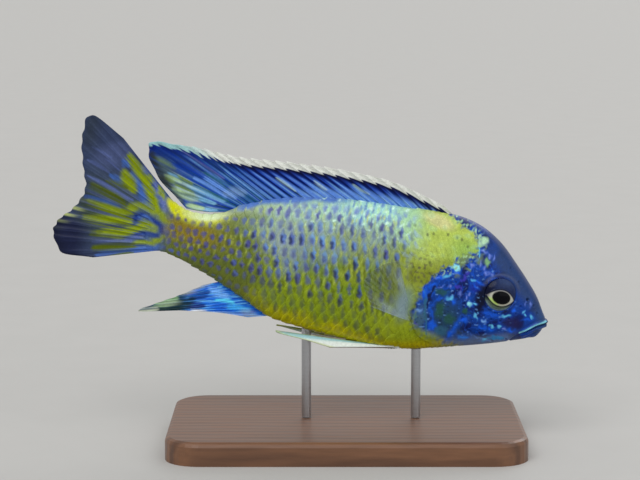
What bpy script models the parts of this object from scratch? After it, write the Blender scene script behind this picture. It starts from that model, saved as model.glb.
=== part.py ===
"""A life-size peacock cichlid, swimming slightly nose down, held by a plain stand.

The fish is drawn in a frame of its own, with its origin at the tip of the snout. A place on
it is given in millimetres as s, the distance behind the snout, y, to the fish's left, and h,
the height above the line from the snout to the middle of the tail root. The empty fish_pose
tips that frame nose down and lifts it over the stand. The stand is drawn in the part's frame:
Z up, X towards the snout, the floor at Z 0.
"""

import math

import bmesh
import bpy
from mathutils import Matrix, Vector

MM = 0.001

# Driving sizes, in millimetres and degrees
BODY_LENGTH = 101.0
NOSE_DOWN_DEG = 13.7
SNOUT_X = 63.99
SNOUT_Z = 32.0
GAP = 0.3
TAIL_SWAY = 5.0
SWAY_STARTS = 52.0
TOTAL_LENGTH = 130.0

# Lines of the body: s, back, belly, half breadth, height of the greatest breadth
BODY_LINES = (
    (0.0, 0.3, -1.7, 1.3, -0.6),
    (1.0, 1.6, -4.0, 2.5, -0.9),
    (3.5, 5.2, -5.6, 3.7, -0.2),
    (7.0, 8.9, -7.1, 4.9, 0.6),
    (11.0, 12.6, -8.7, 6.1, 1.5),
    (15.5, 16.5, -10.3, 7.0, 2.4),
    (21.0, 19.6, -12.1, 7.7, 2.9),
    (27.0, 21.1, -14.0, 8.1, 2.8),
    (34.0, 21.1, -15.9, 8.4, 2.4),
    (42.0, 20.3, -16.9, 8.5, 2.0),
    (52.0, 19.3, -17.1, 8.2, 1.7),
    (62.0, 17.9, -16.8, 7.2, 1.3),
    (70.0, 16.2, -16.2, 6.1, 0.9),
    (77.5, 13.5, -13.3, 4.9, 0.6),
    (84.0, 10.5, -10.9, 3.9, 0.2),
    (88.5, 7.4, -9.3, 3.3, -0.3),
    (94.0, 5.7, -7.8, 2.4, -0.7),
    (98.0, 5.9, -6.9, 1.6, -0.5),
    (101.0, 7.1, -6.4, 1.0, -0.4),
)
# How sharply the back and the belly close: under 1 is full, over 1 is keeled
BACK_POWER = ((0.0, 0.85), (20.0, 0.95), (35.0, 1.15), (70.0, 1.1), (101.0, 0.7))
BELLY_POWER = ((0.0, 0.8), (20.0, 0.85), (45.0, 0.75), (70.0, 0.85), (101.0, 0.7))
BODY_SECTIONS = 52
SECTION_CROWDING = 1.25
AROUND = 32

# Head: places are (s, h) on its side
EYE_AT = (13.9, 4.6)
EYE_RADIUS = 4.8
EYE_HALF_DEPTH = 3.0
EYE_PROUD = 1.35
PUPIL_RADIUS = 2.25
PUPIL_TALL = 0.78
LENS_HALF_DEPTH = 0.6
LENS_SINK = 0.3
ORBIT_RIM_RADIUS = 4.45
ORBIT_RIM_THICKNESS = 0.5
ORBIT_RIM_POINTS = 22
NOSTRIL_AT = (6.4, 4.6)
NOSTRIL_RADIUS = 0.5
NOSTRIL_DEPTH = 0.8
AHEAD_OF_MOUTH = (-3.0, -0.2)
MOUTH_LINE = ((0.0, -0.8), (2.0, -1.6), (4.0, -3.2), (6.0, -4.8))
JAW_HINGE_LINE = ((7.6, -5.9), (9.6, -7.4), (11.4, -11.0))
LIP_RADIUS = 0.55
LIP_SINK = 0.15
GILL_REAR = (
    (27.6, 7.6),
    (30.8, 5.6),
    (33.3, 1.6),
    (34.6, -3.4),
    (34.1, -8.2),
    (31.2, -11.4),
    (26.8, -12.6),
)
GILL_FRONT = ((21.8, -10.6), (20.3, -6.6), (20.9, -1.2), (22.0, 3.6), (24.2, 6.6))
GILL_PROUD = 0.4
GILL_THICKNESS = 1.3
NAPE_CUT = ((28.6, 24.0), (27.4, 15.0))
THROAT_CUT = ((23.6, -14.4), (21.5, -17.0))
STALK_CUT_S = 83.0
MIDDLE_CLEAR = 1.5
PAST_SKIN = 15.0
PAST_BACK = 30.0
SMALLEST_PIECE_FACES = 32

# Fins: a membrane with its rays raised in its own surface
MEMBRANE = 0.5
RAY_RIDGE = 0.45
RIDGE_SHARE = 0.3
RAY_FOOT = 0.24
RIDGE_FADE = 0.55
RAY_TIP_RISE = 0.3
SMALLEST_EDGE_THICKNESS = 0.42

# A wave is its height at the fin's edge and its turn, in radians, from ray to ray
DORSAL_SPINES, DORSAL_RAYS = 16, 10
DORSAL_WAVE = (0.9, 0.9)
# ray number, s of its root, s and h of its tip
DORSAL_GUIDES = (
    (0, 30.4, 33.2, 22.9),
    (3, 38.5, 46.5, 25.6),
    (6, 46.6, 58.6, 25.7),
    (10, 57.6, 72.2, 24.5),
    (15, 71.5, 87.6, 22.4),
    (20, 80.4, 103.4, 21.7),
    (22, 83.3, 110.8, 20.1),
    (24, 86.0, 105.6, 11.9),
    (25, 87.7, 97.4, 6.9),
)
LAPPET_RISE = 0.55
LAPPET_FRONT = 0.33
LAPPET_NOTCH = 0.45
SOFT_TIP_RISE = 0.25

# Three spines and nine soft rays
ANAL_ELEMENTS = 12
ANAL_GUIDES = (
    (0, 70.6, 75.4, -17.7),
    (1, 71.8, 81.5, -18.2),
    (3, 74.4, 92.5, -20.2),
    (5, 77.0, 103.5, -23.2),
    (7, 79.6, 99.6, -20.1),
    (9, 82.2, 94.2, -16.5),
    (11, 85.0, 88.6, -12.2),
)

CAUDAL_RAYS = 16
CAUDAL_WAVE = (0.5, 0.8)
# ray number, h of its root, s and h of its tip
CAUDAL_GUIDES = (
    (0, 6.8, 117.6, 19.8),
    (1, 5.7, 125.7, 23.5),
    (3, 3.7, 128.3, 18.2),
    (5, 1.9, 126.5, 10.9),
    (7, 0.2, 124.4, 4.6),
    (9, -1.4, 126.3, -1.0),
    (11, -2.9, 129.6, -5.4),
    (13, -4.4, 129.4, -10.0),
    (14, -5.2, 126.3, -13.2),
    (15, -5.9, 118.2, -12.3),
)

PECTORAL_RAYS = 14
# ray number, s and h of its root, s, y and h of its tip
PECTORAL_GUIDES = (
    (0, 36.9, -2.4, 42.6, 25.0, 9.6),
    (4, 36.6, -3.9, 46.8, 25.6, 7.2),
    (8, 36.2, -5.4, 49.6, 22.6, 2.2),
    (13, 35.6, -7.3, 46.0, 15.4, -4.8),
)
PELVIC_RAYS = 6
# ray number, s and y of its root, s, y and h of its tip
PELVIC_GUIDES = (
    (0, 36.2, 3.3, 53.0, 5.6, -19.2),
    (1, 36.8, 2.9, 66.0, 4.9, -18.9),
    (3, 38.0, 2.2, 62.0, 3.4, -18.3),
    (5, 39.4, 1.5, 54.0, 2.0, -17.8),
)

# Stand
BASE_LENGTH, BASE_WIDTH, BASE_HEIGHT = 92.0, 58.0, 6.0
BASE_X = 12.0
BASE_CORNER = 9.0
BASE_EDGE = 1.2
ROD_RADIUS = 1.25
ROD_SINK = 3.0
ROD_ROOTS_S = (31.0, 60.0)


def value_at(knots, x):
    """The value at x of the smooth curve through knots, which are (x, value) pairs."""
    if x <= knots[0][0]:
        return knots[0][1]
    if x >= knots[-1][0]:
        return knots[-1][1]
    i = max(k for k in range(len(knots) - 1) if knots[k][0] <= x)
    (x0, v0), (x1, v1) = knots[i], knots[i + 1]
    chord = (v1 - v0) / (x1 - x0)

    def slope(k):
        if k in (0, len(knots) - 1):
            return chord
        (xa, va), (xb, vb), (xc, vc) = knots[k - 1 : k + 2]
        before, after = (vb - va) / (xb - xa), (vc - vb) / (xc - xb)
        return (before * (xc - xb) + after * (xb - xa)) / (xc - xa)

    t = (x - x0) / (x1 - x0)
    rise = (x1 - x0) * t * (1 - t)
    ease = t * t * (3 - 2 * t)
    return v0 + (v1 - v0) * ease + rise * (slope(i) * (1 - t) - slope(i + 1) * t)


def column(table, k):
    """Column k of a table against its first column, as knots."""
    return [(row[0], row[k]) for row in table]


def smooth_line(points, steps=5):
    """Points of a smooth line through the given ones, which are tuples of any length."""
    last = len(points) - 1
    count = last * steps
    axes = [[(i, p[a]) for i, p in enumerate(points)] for a in range(len(points[0]))]
    return [tuple(value_at(axis, j / steps) for axis in axes) for j in range(count + 1)]


def sway(s):
    """How far the swimming bend carries the midline to the fish's left."""
    reach = max(0.0, s - SWAY_STARTS) / (TOTAL_LENGTH - SWAY_STARTS)
    return TAIL_SWAY * reach * reach


def on_fish(s, y, h):
    return Vector((-s, y + sway(s), h)) * MM


def body_line(k, s):
    return value_at(column(BODY_LINES, k), s)


def back(s):
    return body_line(1, s)


def belly(s):
    return body_line(2, s)


def half_breadth(s, h):
    """Half the body's breadth at station s and height h."""
    level = body_line(4, s)
    above = h > level
    reach = (back(s) if above else belly(s)) - level
    across = math.sqrt(max(0.0, 1.0 - ((h - level) / reach) ** 2))
    power = value_at(BACK_POWER if above else BELLY_POWER, s)
    return body_line(3, s) * across**power


def belly_at(s, y):
    """Height of the belly's skin at station s, y to one side of the midline."""
    level = body_line(4, s)
    across = (abs(y) / body_line(3, s)) ** (1.0 / value_at(BELLY_POWER, s))
    return level + (belly(s) - level) * math.sqrt(max(0.0, 1.0 - across * across))


def new_object(name, bm, parent=None):
    bmesh.ops.recalc_face_normals(bm, faces=bm.faces)
    mesh = bpy.data.meshes.new(name)
    bm.to_mesh(mesh)
    bm.free()
    obj = bpy.data.objects.new(name, mesh)
    bpy.context.scene.collection.objects.link(obj)
    obj.parent = parent
    return obj


def section(s, swell):
    """One ring of the body, swollen by a number of millimetres."""
    level = body_line(4, s)
    breadth = body_line(3, s) + swell
    ring = []
    for k in range(AROUND):
        angle = 2 * math.pi * k / AROUND
        across, up = math.cos(angle), math.sin(angle)
        reach = back(s) + swell - level if up >= 0 else level - belly(s) + swell
        power = value_at(BACK_POWER if up >= 0 else BELLY_POWER, s)
        y = breadth * math.copysign(abs(across) ** power, across)
        ring.append((y, level + reach * up))
    return ring


def body_loft(name, pose, swell=0.0):
    """The whole body, from snout to tail root, as one closed loft."""
    bm = bmesh.new()
    loops = []
    for i in range(BODY_SECTIONS + 1):
        s = BODY_LENGTH * (i / BODY_SECTIONS) ** SECTION_CROWDING
        end = {0: -swell, BODY_SECTIONS: swell}.get(i, 0.0)
        ring = section(s, swell)
        loops.append([bm.verts.new(on_fish(s + end, y, h)) for y, h in ring])
    for fore, aft in zip(loops, loops[1:]):
        for k in range(AROUND):
            n = (k + 1) % AROUND
            bm.faces.new((fore[k], fore[n], aft[n], aft[k]))
    bm.faces.new(loops[0])
    bm.faces.new(loops[-1])
    return new_object(name, bm, pose)


def tube(name, points, radius, closed, pose):
    """A round tube along points, as a closed mesh."""
    curve = bpy.data.curves.new(name, "CURVE")
    curve.dimensions = "3D"
    curve.bevel_depth = radius * MM
    curve.bevel_resolution = 2
    curve.use_fill_caps = True
    spline = curve.splines.new("POLY")
    spline.points.add(len(points) - 1)
    spline.use_cyclic_u = closed
    for spot, p in zip(spline.points, points):
        spot.co = (*p, 1.0)
    drawn = bpy.data.objects.new(name, curve)
    bpy.context.scene.collection.objects.link(drawn)
    bpy.context.view_layer.update()
    graph = bpy.context.evaluated_depsgraph_get()
    mesh = bpy.data.meshes.new_from_object(drawn.evaluated_get(graph))
    bpy.data.objects.remove(drawn)
    bm = bmesh.new()
    bm.from_mesh(mesh)
    bpy.data.meshes.remove(mesh)
    bmesh.ops.remove_doubles(bm, verts=bm.verts, dist=0.01 * MM)
    return new_object(name, bm, pose)


def ball(name, centre, radii, turn, pose, segments=20, rings=12):
    """An ellipsoid with its own Z axis turned along the rotation turn."""
    bm = bmesh.new()
    bmesh.ops.create_uvsphere(bm, u_segments=segments, v_segments=rings, radius=1.0)
    shape = Matrix.Diagonal((*[r * MM for r in radii], 1.0))
    place = Matrix.Translation(centre) @ turn.to_matrix().to_4x4() @ shape
    bmesh.ops.transform(bm, matrix=place, verts=bm.verts)
    return new_object(name, bm, pose)


def slab(name, outline, near, far, pose):
    """A prism across the fish: an outline of (s, h) points, drawn from y near to y far."""
    bm = bmesh.new()
    face = bm.faces.new([bm.verts.new(Vector((-s, near, h)) * MM) for s, h in outline])
    out = bmesh.ops.extrude_face_region(bm, geom=[face])["geom"]
    moved = [v for v in out if isinstance(v, bmesh.types.BMVert)]
    bmesh.ops.translate(bm, vec=Vector((0, far - near, 0)) * MM, verts=moved)
    return new_object(name, bm, pose)


def cut_wall(name, line, reach, pose):
    """A wall as thick as the gap, standing across the fish along a line of (s, h) points."""
    bm = bmesh.new()
    ends = [bm.verts.new(Vector((-s, -reach, h)) * MM) for s, h in line]
    edges = [bm.edges.new(pair) for pair in zip(ends, ends[1:])]
    out = bmesh.ops.extrude_edge_only(bm, edges=edges)["geom"]
    moved = [v for v in out if isinstance(v, bmesh.types.BMVert)]
    bmesh.ops.translate(bm, vec=Vector((0, 2 * reach, 0)) * MM, verts=moved)
    wall = new_object(name, bm, pose)
    thick = wall.modifiers.new("thickness", "SOLIDIFY")
    thick.thickness = GAP * MM
    thick.offset = 0.0
    return wall


def combine(target, tool, operation):
    """Applies one Boolean to target and removes the tool."""
    bpy.context.view_layer.update()
    step = target.modifiers.new(operation.lower(), "BOOLEAN")
    step.operation = operation
    step.solver = "EXACT"
    step.object = tool
    graph = bpy.context.evaluated_depsgraph_get()
    mesh = bpy.data.meshes.new_from_object(target.evaluated_get(graph))
    target.modifiers.clear()
    target.data = mesh
    bpy.data.objects.remove(tool)
    return target


def islands(obj):
    """The separate closed surfaces of obj, each as a bmesh, from front to back."""
    whole = bmesh.new()
    whole.from_mesh(obj.data)
    whole.verts.ensure_lookup_table()
    group = {}
    for start in whole.verts:
        if start.index in group:
            continue
        group[start.index] = start.index
        waiting = [start]
        while waiting:
            for edge in waiting.pop().link_edges:
                for v in edge.verts:
                    if v.index not in group:
                        group[v.index] = start.index
                        waiting.append(v)
    found = []
    for root in sorted(set(group.values())):
        piece = whole.copy()
        piece.verts.ensure_lookup_table()
        others = [v for v in piece.verts if group[v.index] != root]
        bmesh.ops.delete(piece, geom=others, context="VERTS")
        found.append(piece)
    whole.free()
    found.sort(key=lambda bm: -sum(v.co.x for v in bm.verts) / len(bm.verts))
    return found


def eye_frame(side):
    """Where the eye meets the skin, and the turn that points +Z out of the head there."""
    s, h = EYE_AT
    step = 0.5
    along = (half_breadth(s + step, h) - half_breadth(s - step, h)) / (2 * step)
    upward = (half_breadth(s, h + step) - half_breadth(s, h - step)) / (2 * step)
    out = Vector((along, side, -upward)).normalized()
    return on_fish(s, side * half_breadth(s, h), h), out.to_track_quat("Z", "Y")


def eye_ball(name, side, grow, pose):
    """One eyeball, or with grow its socket."""
    skin, turn = eye_frame(side)
    inward = turn @ Vector((0, 0, -1)) * (EYE_HALF_DEPTH - EYE_PROUD) * MM
    radius = EYE_RADIUS + grow
    radii = (radius, radius, EYE_HALF_DEPTH + grow)
    return ball(name, skin + inward, radii, turn, pose, segments=24, rings=12)


def eye(name, side, pose):
    """The eyeball with the lens standing a little out of its middle."""
    obj = eye_ball(name, side, 0.0, pose)
    skin, turn = eye_frame(side)
    front = skin + turn @ Vector((0, 0, 1)) * (EYE_PROUD - LENS_SINK) * MM
    radii = (PUPIL_RADIUS, PUPIL_RADIUS * PUPIL_TALL, LENS_HALF_DEPTH)
    lens = ball("lens", front, radii, turn, pose, segments=16, rings=8)
    return combine(obj, lens, "UNION")


def orbit_rim(side, pose):
    """The raised fold of skin round the eye, laid on the head's surface."""
    points = []
    for k in range(ORBIT_RIM_POINTS):
        angle = 2 * math.pi * k / ORBIT_RIM_POINTS
        s = EYE_AT[0] + ORBIT_RIM_RADIUS * math.cos(angle)
        h = EYE_AT[1] + ORBIT_RIM_RADIUS * math.sin(angle)
        points.append(on_fish(s, side * half_breadth(s, h), h))
    return tube("orbit_rim", points, ORBIT_RIM_THICKNESS, True, pose)


def lip(name, rise, pose):
    """A roll of flesh along the mouth, from one corner round the snout to the other."""
    line = smooth_line(MOUTH_LINE, 4)
    right = []
    for s, h in reversed(line[1:]):
        sunk = half_breadth(s, h + rise) - LIP_SINK
        right.append((s, -sunk, h + rise))
    front = [(-LIP_SINK, 0.0, line[0][1] + rise)]
    left = [(s, -y, h) for s, y, h in reversed(right)]
    points = [on_fish(*p) for p in right + front + left]
    return tube(name, points, LIP_RADIUS, False, pose)


def gill_outline(grow=0.0):
    """Outline of the gill cover in (s, h), widened by grow."""
    closed = (*GILL_REAR, *GILL_FRONT, GILL_REAR[0])
    line = smooth_line(closed, 4)[:-1]
    cs = sum(s for s, h in line) / len(line)
    ch = sum(h for s, h in line) / len(line)
    wide = []
    for s, h in line:
        away = math.hypot(s - cs, h - ch)
        factor = 1.0 + grow / away
        wide.append((cs + (s - cs) * factor, ch + (h - ch) * factor))
    return wide


def gill_cover(name, side, pose):
    """The bony gill cover, standing a little proud of the cheek and the shoulder."""
    plate = body_loft(name, pose, GILL_PROUD)
    region = slab("region", gill_outline(), side * MIDDLE_CLEAR, side * PAST_SKIN, pose)
    combine(plate, region, "INTERSECT")
    core = body_loft("core", pose, GILL_PROUD - GILL_THICKNESS)
    return combine(plate, core, "DIFFERENCE")


def gill_recess(side, pose):
    """The seat that the gill cover lies in, a gap larger all round."""
    seat = slab("seat", gill_outline(GAP), side * MIDDLE_CLEAR, side * PAST_SKIN, pose)
    core = body_loft("core", pose, GILL_PROUD - GILL_THICKNESS - GAP)
    return combine(seat, core, "DIFFERENCE")


def nostril(side, pose):
    s, h = NOSTRIL_AT
    spot = on_fish(s, side * half_breadth(s, h), h)
    turn = Vector((0, side, 0)).to_track_quat("Z", "Y")
    radii = (NOSTRIL_RADIUS, NOSTRIL_RADIUS, NOSTRIL_DEPTH)
    return ball("nostril", spot, radii, turn, pose, segments=10, rings=6)


def body_pieces(pose):
    """The flesh: lower jaw, head, trunk and tail stalk, parted by thin cuts."""
    body = body_loft("body", pose)
    rise = LIP_RADIUS + GAP / 2
    for name, up in (("upper_lip", rise), ("lower_lip", -rise)):
        combine(body, lip(name, up, pose), "UNION")
    for side in (-1, 1):
        combine(body, orbit_rim(side, pose), "UNION")
        combine(body, eye_ball("socket", side, GAP, pose), "DIFFERENCE")
        combine(body, nostril(side, pose), "DIFFERENCE")
        combine(body, gill_recess(side, pose), "DIFFERENCE")
    mouth = [AHEAD_OF_MOUTH, *smooth_line(MOUTH_LINE, 2), *JAW_HINGE_LINE]
    shoulder = [*NAPE_CUT, *smooth_line(GILL_REAR, 4), *THROAT_CUT]
    stalk = [(STALK_CUT_S, PAST_BACK), (STALK_CUT_S, -PAST_BACK)]
    for name, line in (("mouth", mouth), ("shoulder", shoulder), ("stalk", stalk)):
        combine(body, cut_wall(name, line, PAST_SKIN, pose), "DIFFERENCE")
    # Slivers left between the gill seats and the cut behind them are dropped
    found = [bm for bm in islands(body) if len(bm.faces) > SMALLEST_PIECE_FACES]
    bpy.data.objects.remove(body)
    names = ("lower_jaw", "head", "trunk", "tail_stalk")
    return {name: new_object(name, bm, pose) for name, bm in zip(names, found, strict=True)}


def ray_columns(count):
    """Columns across a fin as (position in rays, -1 ahead of a ray, 0 on it, 1 behind it)."""
    found = []
    for ray in range(count):
        for part in (-1, 0, 1):
            at = ray + part * RAY_FOOT
            if 0 <= at <= count - 1:
                found.append((at, part))
    return found


def fin(name, count, root, tip, pose, rows=5, edge=None, wave=None):
    """A fin as one thin solid. root and tip give points from a position in rays."""
    columns = ray_columns(count)
    bm = bmesh.new()
    bmesh.ops.create_grid(bm, x_segments=len(columns) - 1, y_segments=rows, size=0.5)
    thickest = MEMBRANE + 2 * RAY_RIDGE
    share = {}
    for v in bm.verts:
        at, part = columns[round((v.co.x + 0.5) * (len(columns) - 1))]
        out = v.co.y + 0.5
        near = max(0.0, min(count - 1.001, at - 0.5))
        start, end = root(at), tip(at)
        step = root(near + 1).lerp(tip(near + 1), out) - root(near).lerp(tip(near), out)
        spacing = step.length / MM
        reach = (end - start).length
        stretch = 1.0 + (edge(at, part) * MM / reach if edge else 0.0)
        v.co = start.lerp(end, out * stretch)
        if wave:
            v.co.y += wave(at, out) * MM
        thin = MEMBRANE + (SMALLEST_EDGE_THICKNESS - MEMBRANE) * out
        ridge = min(RAY_RIDGE, RIDGE_SHARE * spacing) * (1.0 - RIDGE_FADE * out)
        share[v.index] = (thin + (2 * ridge if part == 0 else 0.0)) / thickest
    bm.verts.index_update()
    bmesh.ops.triangulate(bm, faces=bm.faces)
    obj = new_object(name, bm, pose)
    group = obj.vertex_groups.new(name="thickness")
    for index, weight in share.items():
        group.add([index], weight, "REPLACE")
    thick = obj.modifiers.new("thickness", "SOLIDIFY")
    thick.thickness = thickest * MM
    thick.offset = 0.0
    thick.vertex_group = group.name
    thick.thickness_vertex_group = 0.0
    return obj


def lappet_edge(at, part):
    """The stepped edge of the spiny dorsal fin: a flag behind each spine's tip."""
    if at > DORSAL_SPINES - 0.5:
        return SOFT_TIP_RISE if part == 0 else 0.0
    return {-1: -LAPPET_NOTCH, 0: LAPPET_FRONT, 1: LAPPET_RISE}[part]


def ray_tip_edge(at, part):
    """Each ray's tip stands a little past the membrane."""
    return RAY_TIP_RISE if part == 0 else 0.0


def dorsal_fin(pose):
    roots, tip_s, tip_h = (column(DORSAL_GUIDES, k) for k in (1, 2, 3))

    def root(at):
        s = value_at(roots, at)
        return on_fish(s, 0.0, back(s) + GAP)

    def tip(at):
        return on_fish(value_at(tip_s, at), 0.0, value_at(tip_h, at))

    def wave(at, out):
        soft = max(0.0, at - DORSAL_SPINES) / DORSAL_RAYS
        height, turn = DORSAL_WAVE
        return height * soft * out * out * math.sin(at * turn)

    count = DORSAL_SPINES + DORSAL_RAYS
    return fin("dorsal_fin", count, root, tip, pose, edge=lappet_edge, wave=wave)


def anal_fin(pose):
    roots, tip_s, tip_h = (column(ANAL_GUIDES, k) for k in (1, 2, 3))

    def root(at):
        s = value_at(roots, at)
        return on_fish(s, 0.0, belly(s) - GAP)

    def tip(at):
        return on_fish(value_at(tip_s, at), 0.0, value_at(tip_h, at))

    return fin("anal_fin", ANAL_ELEMENTS, root, tip, pose, edge=ray_tip_edge)


def caudal_fin(pose):
    roots, tip_s, tip_h = (column(CAUDAL_GUIDES, k) for k in (1, 2, 3))

    def root(at):
        return on_fish(BODY_LENGTH + GAP, 0.0, value_at(roots, at))

    def tip(at):
        return on_fish(value_at(tip_s, at), 0.0, value_at(tip_h, at))

    def wave(at, out):
        height, turn = CAUDAL_WAVE
        return height * out * out * math.sin(at * turn)

    return fin("caudal_fin", CAUDAL_RAYS, root, tip, pose, 6, ray_tip_edge, wave)


def pectoral_fin(name, side, pose):
    root_s, root_h, tip_s, tip_y, tip_h = (column(PECTORAL_GUIDES, k) for k in range(1, 6))

    def root(at):
        s, h = value_at(root_s, at), value_at(root_h, at)
        stand_off = GAP + MEMBRANE / 2
        return on_fish(s, side * (half_breadth(s, h) + stand_off), h)

    def tip(at):
        y = side * value_at(tip_y, at)
        return on_fish(value_at(tip_s, at), y, value_at(tip_h, at))

    return fin(name, PECTORAL_RAYS, root, tip, pose, 4, ray_tip_edge)


def pelvic_fin(name, side, pose):
    root_s, root_y, tip_s, tip_y, tip_h = (column(PELVIC_GUIDES, k) for k in range(1, 6))

    def root(at):
        s, y = value_at(root_s, at), value_at(root_y, at)
        return on_fish(s, side * y, belly_at(s, y) - GAP - MEMBRANE / 2)

    def tip(at):
        y = side * value_at(tip_y, at)
        return on_fish(value_at(tip_s, at), y, value_at(tip_h, at))

    return fin(name, PELVIC_RAYS, root, tip, pose, 5, ray_tip_edge)


def stand_base():
    bm = bmesh.new()
    bmesh.ops.create_cube(bm, size=1.0)
    size = Vector((BASE_LENGTH, BASE_WIDTH, BASE_HEIGHT)) * MM
    bmesh.ops.scale(bm, vec=size, verts=bm.verts)
    place = Vector((BASE_X, 0.0, BASE_HEIGHT / 2)) * MM
    bmesh.ops.translate(bm, vec=place, verts=bm.verts)
    upright = [e for e in bm.edges if abs(e.verts[0].co.z - e.verts[1].co.z) > MM]
    bmesh.ops.bevel(
        bm, geom=upright, offset=BASE_CORNER * MM, segments=8, profile=0.5, affect="EDGES"
    )
    top = [e for e in bm.edges if min(v.co.z for v in e.verts) > (BASE_HEIGHT - 0.01) * MM]
    bmesh.ops.bevel(
        bm, geom=top, offset=BASE_EDGE * MM, segments=2, profile=0.5, affect="EDGES"
    )
    return new_object("stand_base", bm)


def stand_rod(name, s, pose):
    """An upright rod whose top is cut to the belly that it carries."""
    foot = pose.matrix_world @ on_fish(s, 0.0, belly(s))
    bottom = BASE_HEIGHT + GAP
    top = foot.z / MM + ROD_SINK
    bm = bmesh.new()
    bmesh.ops.create_cone(
        bm,
        cap_ends=True,
        segments=20,
        radius1=ROD_RADIUS * MM,
        radius2=ROD_RADIUS * MM,
        depth=(top - bottom) * MM,
    )
    place = Vector((foot.x, foot.y, (top + bottom) / 2 * MM))
    bmesh.ops.translate(bm, vec=place, verts=bm.verts)
    rod = new_object(name, bm)
    return combine(rod, body_loft("seat", pose, GAP), "DIFFERENCE")


def finish(obj, colour, roughness, metallic=0.0):
    """Gives a piece its material and smooth shading with sharp corners kept."""
    paint = bpy.data.materials.new(obj.name)
    paint.use_nodes = True
    shader = paint.node_tree.nodes["Principled BSDF"]
    shader.inputs["Base Color"].default_value = (*colour, 1.0)
    shader.inputs["Roughness"].default_value = roughness
    shader.inputs["Metallic"].default_value = metallic
    obj.data.materials.clear()
    obj.data.materials.append(paint)
    obj.data.shade_smooth()
    obj.data.set_sharp_from_angle(angle=math.radians(40))


HEAD_BLUE = (0.03, 0.07, 0.42)
FLANK_GREEN = (0.42, 0.43, 0.04)
STALK_OCHRE = (0.45, 0.33, 0.06)
FIN_BLUE = (0.05, 0.12, 0.5)
CLEAR_FIN = (0.62, 0.68, 0.72)
IRIS = (0.05, 0.05, 0.07)
WALNUT = (0.16, 0.08, 0.04)
STEEL = (0.6, 0.6, 0.62)


def main():
    for obj in list(bpy.data.objects):
        bpy.data.objects.remove(obj)
    pose = bpy.data.objects.new("fish_pose", None)
    bpy.context.scene.collection.objects.link(pose)
    pose.location = Vector((SNOUT_X, 0.0, SNOUT_Z)) * MM
    pose.rotation_euler = (0.0, math.radians(NOSE_DOWN_DEG), 0.0)
    bpy.context.view_layer.update()

    flesh = body_pieces(pose)
    made = [
        (flesh["head"], HEAD_BLUE, 0.4),
        (flesh["lower_jaw"], HEAD_BLUE, 0.4),
        (flesh["trunk"], FLANK_GREEN, 0.4),
        (flesh["tail_stalk"], STALK_OCHRE, 0.4),
        (dorsal_fin(pose), FIN_BLUE, 0.45),
        (anal_fin(pose), FIN_BLUE, 0.45),
        (caudal_fin(pose), FLANK_GREEN, 0.45),
    ]
    for side, word in ((-1, "right"), (1, "left")):
        made += [
            (gill_cover(f"gill_cover_{word}", side, pose), HEAD_BLUE, 0.4),
            (eye(f"eye_{word}", side, pose), IRIS, 0.1),
            (pectoral_fin(f"pectoral_fin_{word}", side, pose), CLEAR_FIN, 0.45),
            (pelvic_fin(f"pelvic_fin_{word}", side, pose), FLANK_GREEN, 0.45),
        ]
    for obj, colour, roughness in made:
        finish(obj, colour, roughness)
    finish(stand_base(), WALNUT, 0.45)
    for name, s in zip(("stand_rod_front", "stand_rod_rear"), ROD_ROOTS_S):
        finish(stand_rod(name, s, pose), STEEL, 0.3, 1.0)

    fish = bpy.data.collections.new("peacock_cichlid")
    bpy.context.scene.collection.children.link(fish)
    for obj in list(bpy.context.scene.collection.objects):
        bpy.context.scene.collection.objects.unlink(obj)
        fish.objects.link(obj)


main()
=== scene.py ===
"""The looks of a life-size peacock cichlid on its display stand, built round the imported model.

The fish has a frame of its own, with its origin at the tip of the snout. A place on it is given
in millimetres as s, the distance behind the snout, y, to the fish's left, and h, the height
above the line from the snout to the middle of the tail root. A place on the skin is (s, share):
share runs round one side from 0 at the back to 1 at the belly. Colours are given as they look,
from 0 to 255, and turned into light values by rgb.
"""

import math

import bpy
import numpy as np
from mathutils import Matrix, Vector


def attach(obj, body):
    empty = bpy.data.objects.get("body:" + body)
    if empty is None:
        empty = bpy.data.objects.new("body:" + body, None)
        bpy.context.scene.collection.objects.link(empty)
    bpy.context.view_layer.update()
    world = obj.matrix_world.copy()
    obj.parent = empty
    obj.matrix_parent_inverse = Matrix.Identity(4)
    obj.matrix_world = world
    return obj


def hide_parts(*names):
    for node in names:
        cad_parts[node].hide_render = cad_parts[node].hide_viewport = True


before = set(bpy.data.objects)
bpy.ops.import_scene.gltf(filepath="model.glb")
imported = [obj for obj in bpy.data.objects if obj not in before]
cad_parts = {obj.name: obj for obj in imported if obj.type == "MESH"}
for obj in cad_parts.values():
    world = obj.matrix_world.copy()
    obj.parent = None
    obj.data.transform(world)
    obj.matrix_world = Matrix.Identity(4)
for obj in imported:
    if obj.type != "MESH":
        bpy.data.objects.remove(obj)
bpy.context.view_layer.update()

MM = 0.001

# The fish's driving sizes, in millimetres and degrees, as in the solids
BODY_LENGTH = 101.0
NOSE_DOWN_DEG = 13.7
SNOUT_X = 63.99
SNOUT_Z = 32.0
TAIL_SWAY = 5.0
SWAY_STARTS = 52.0
TOTAL_LENGTH = 130.0

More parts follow.
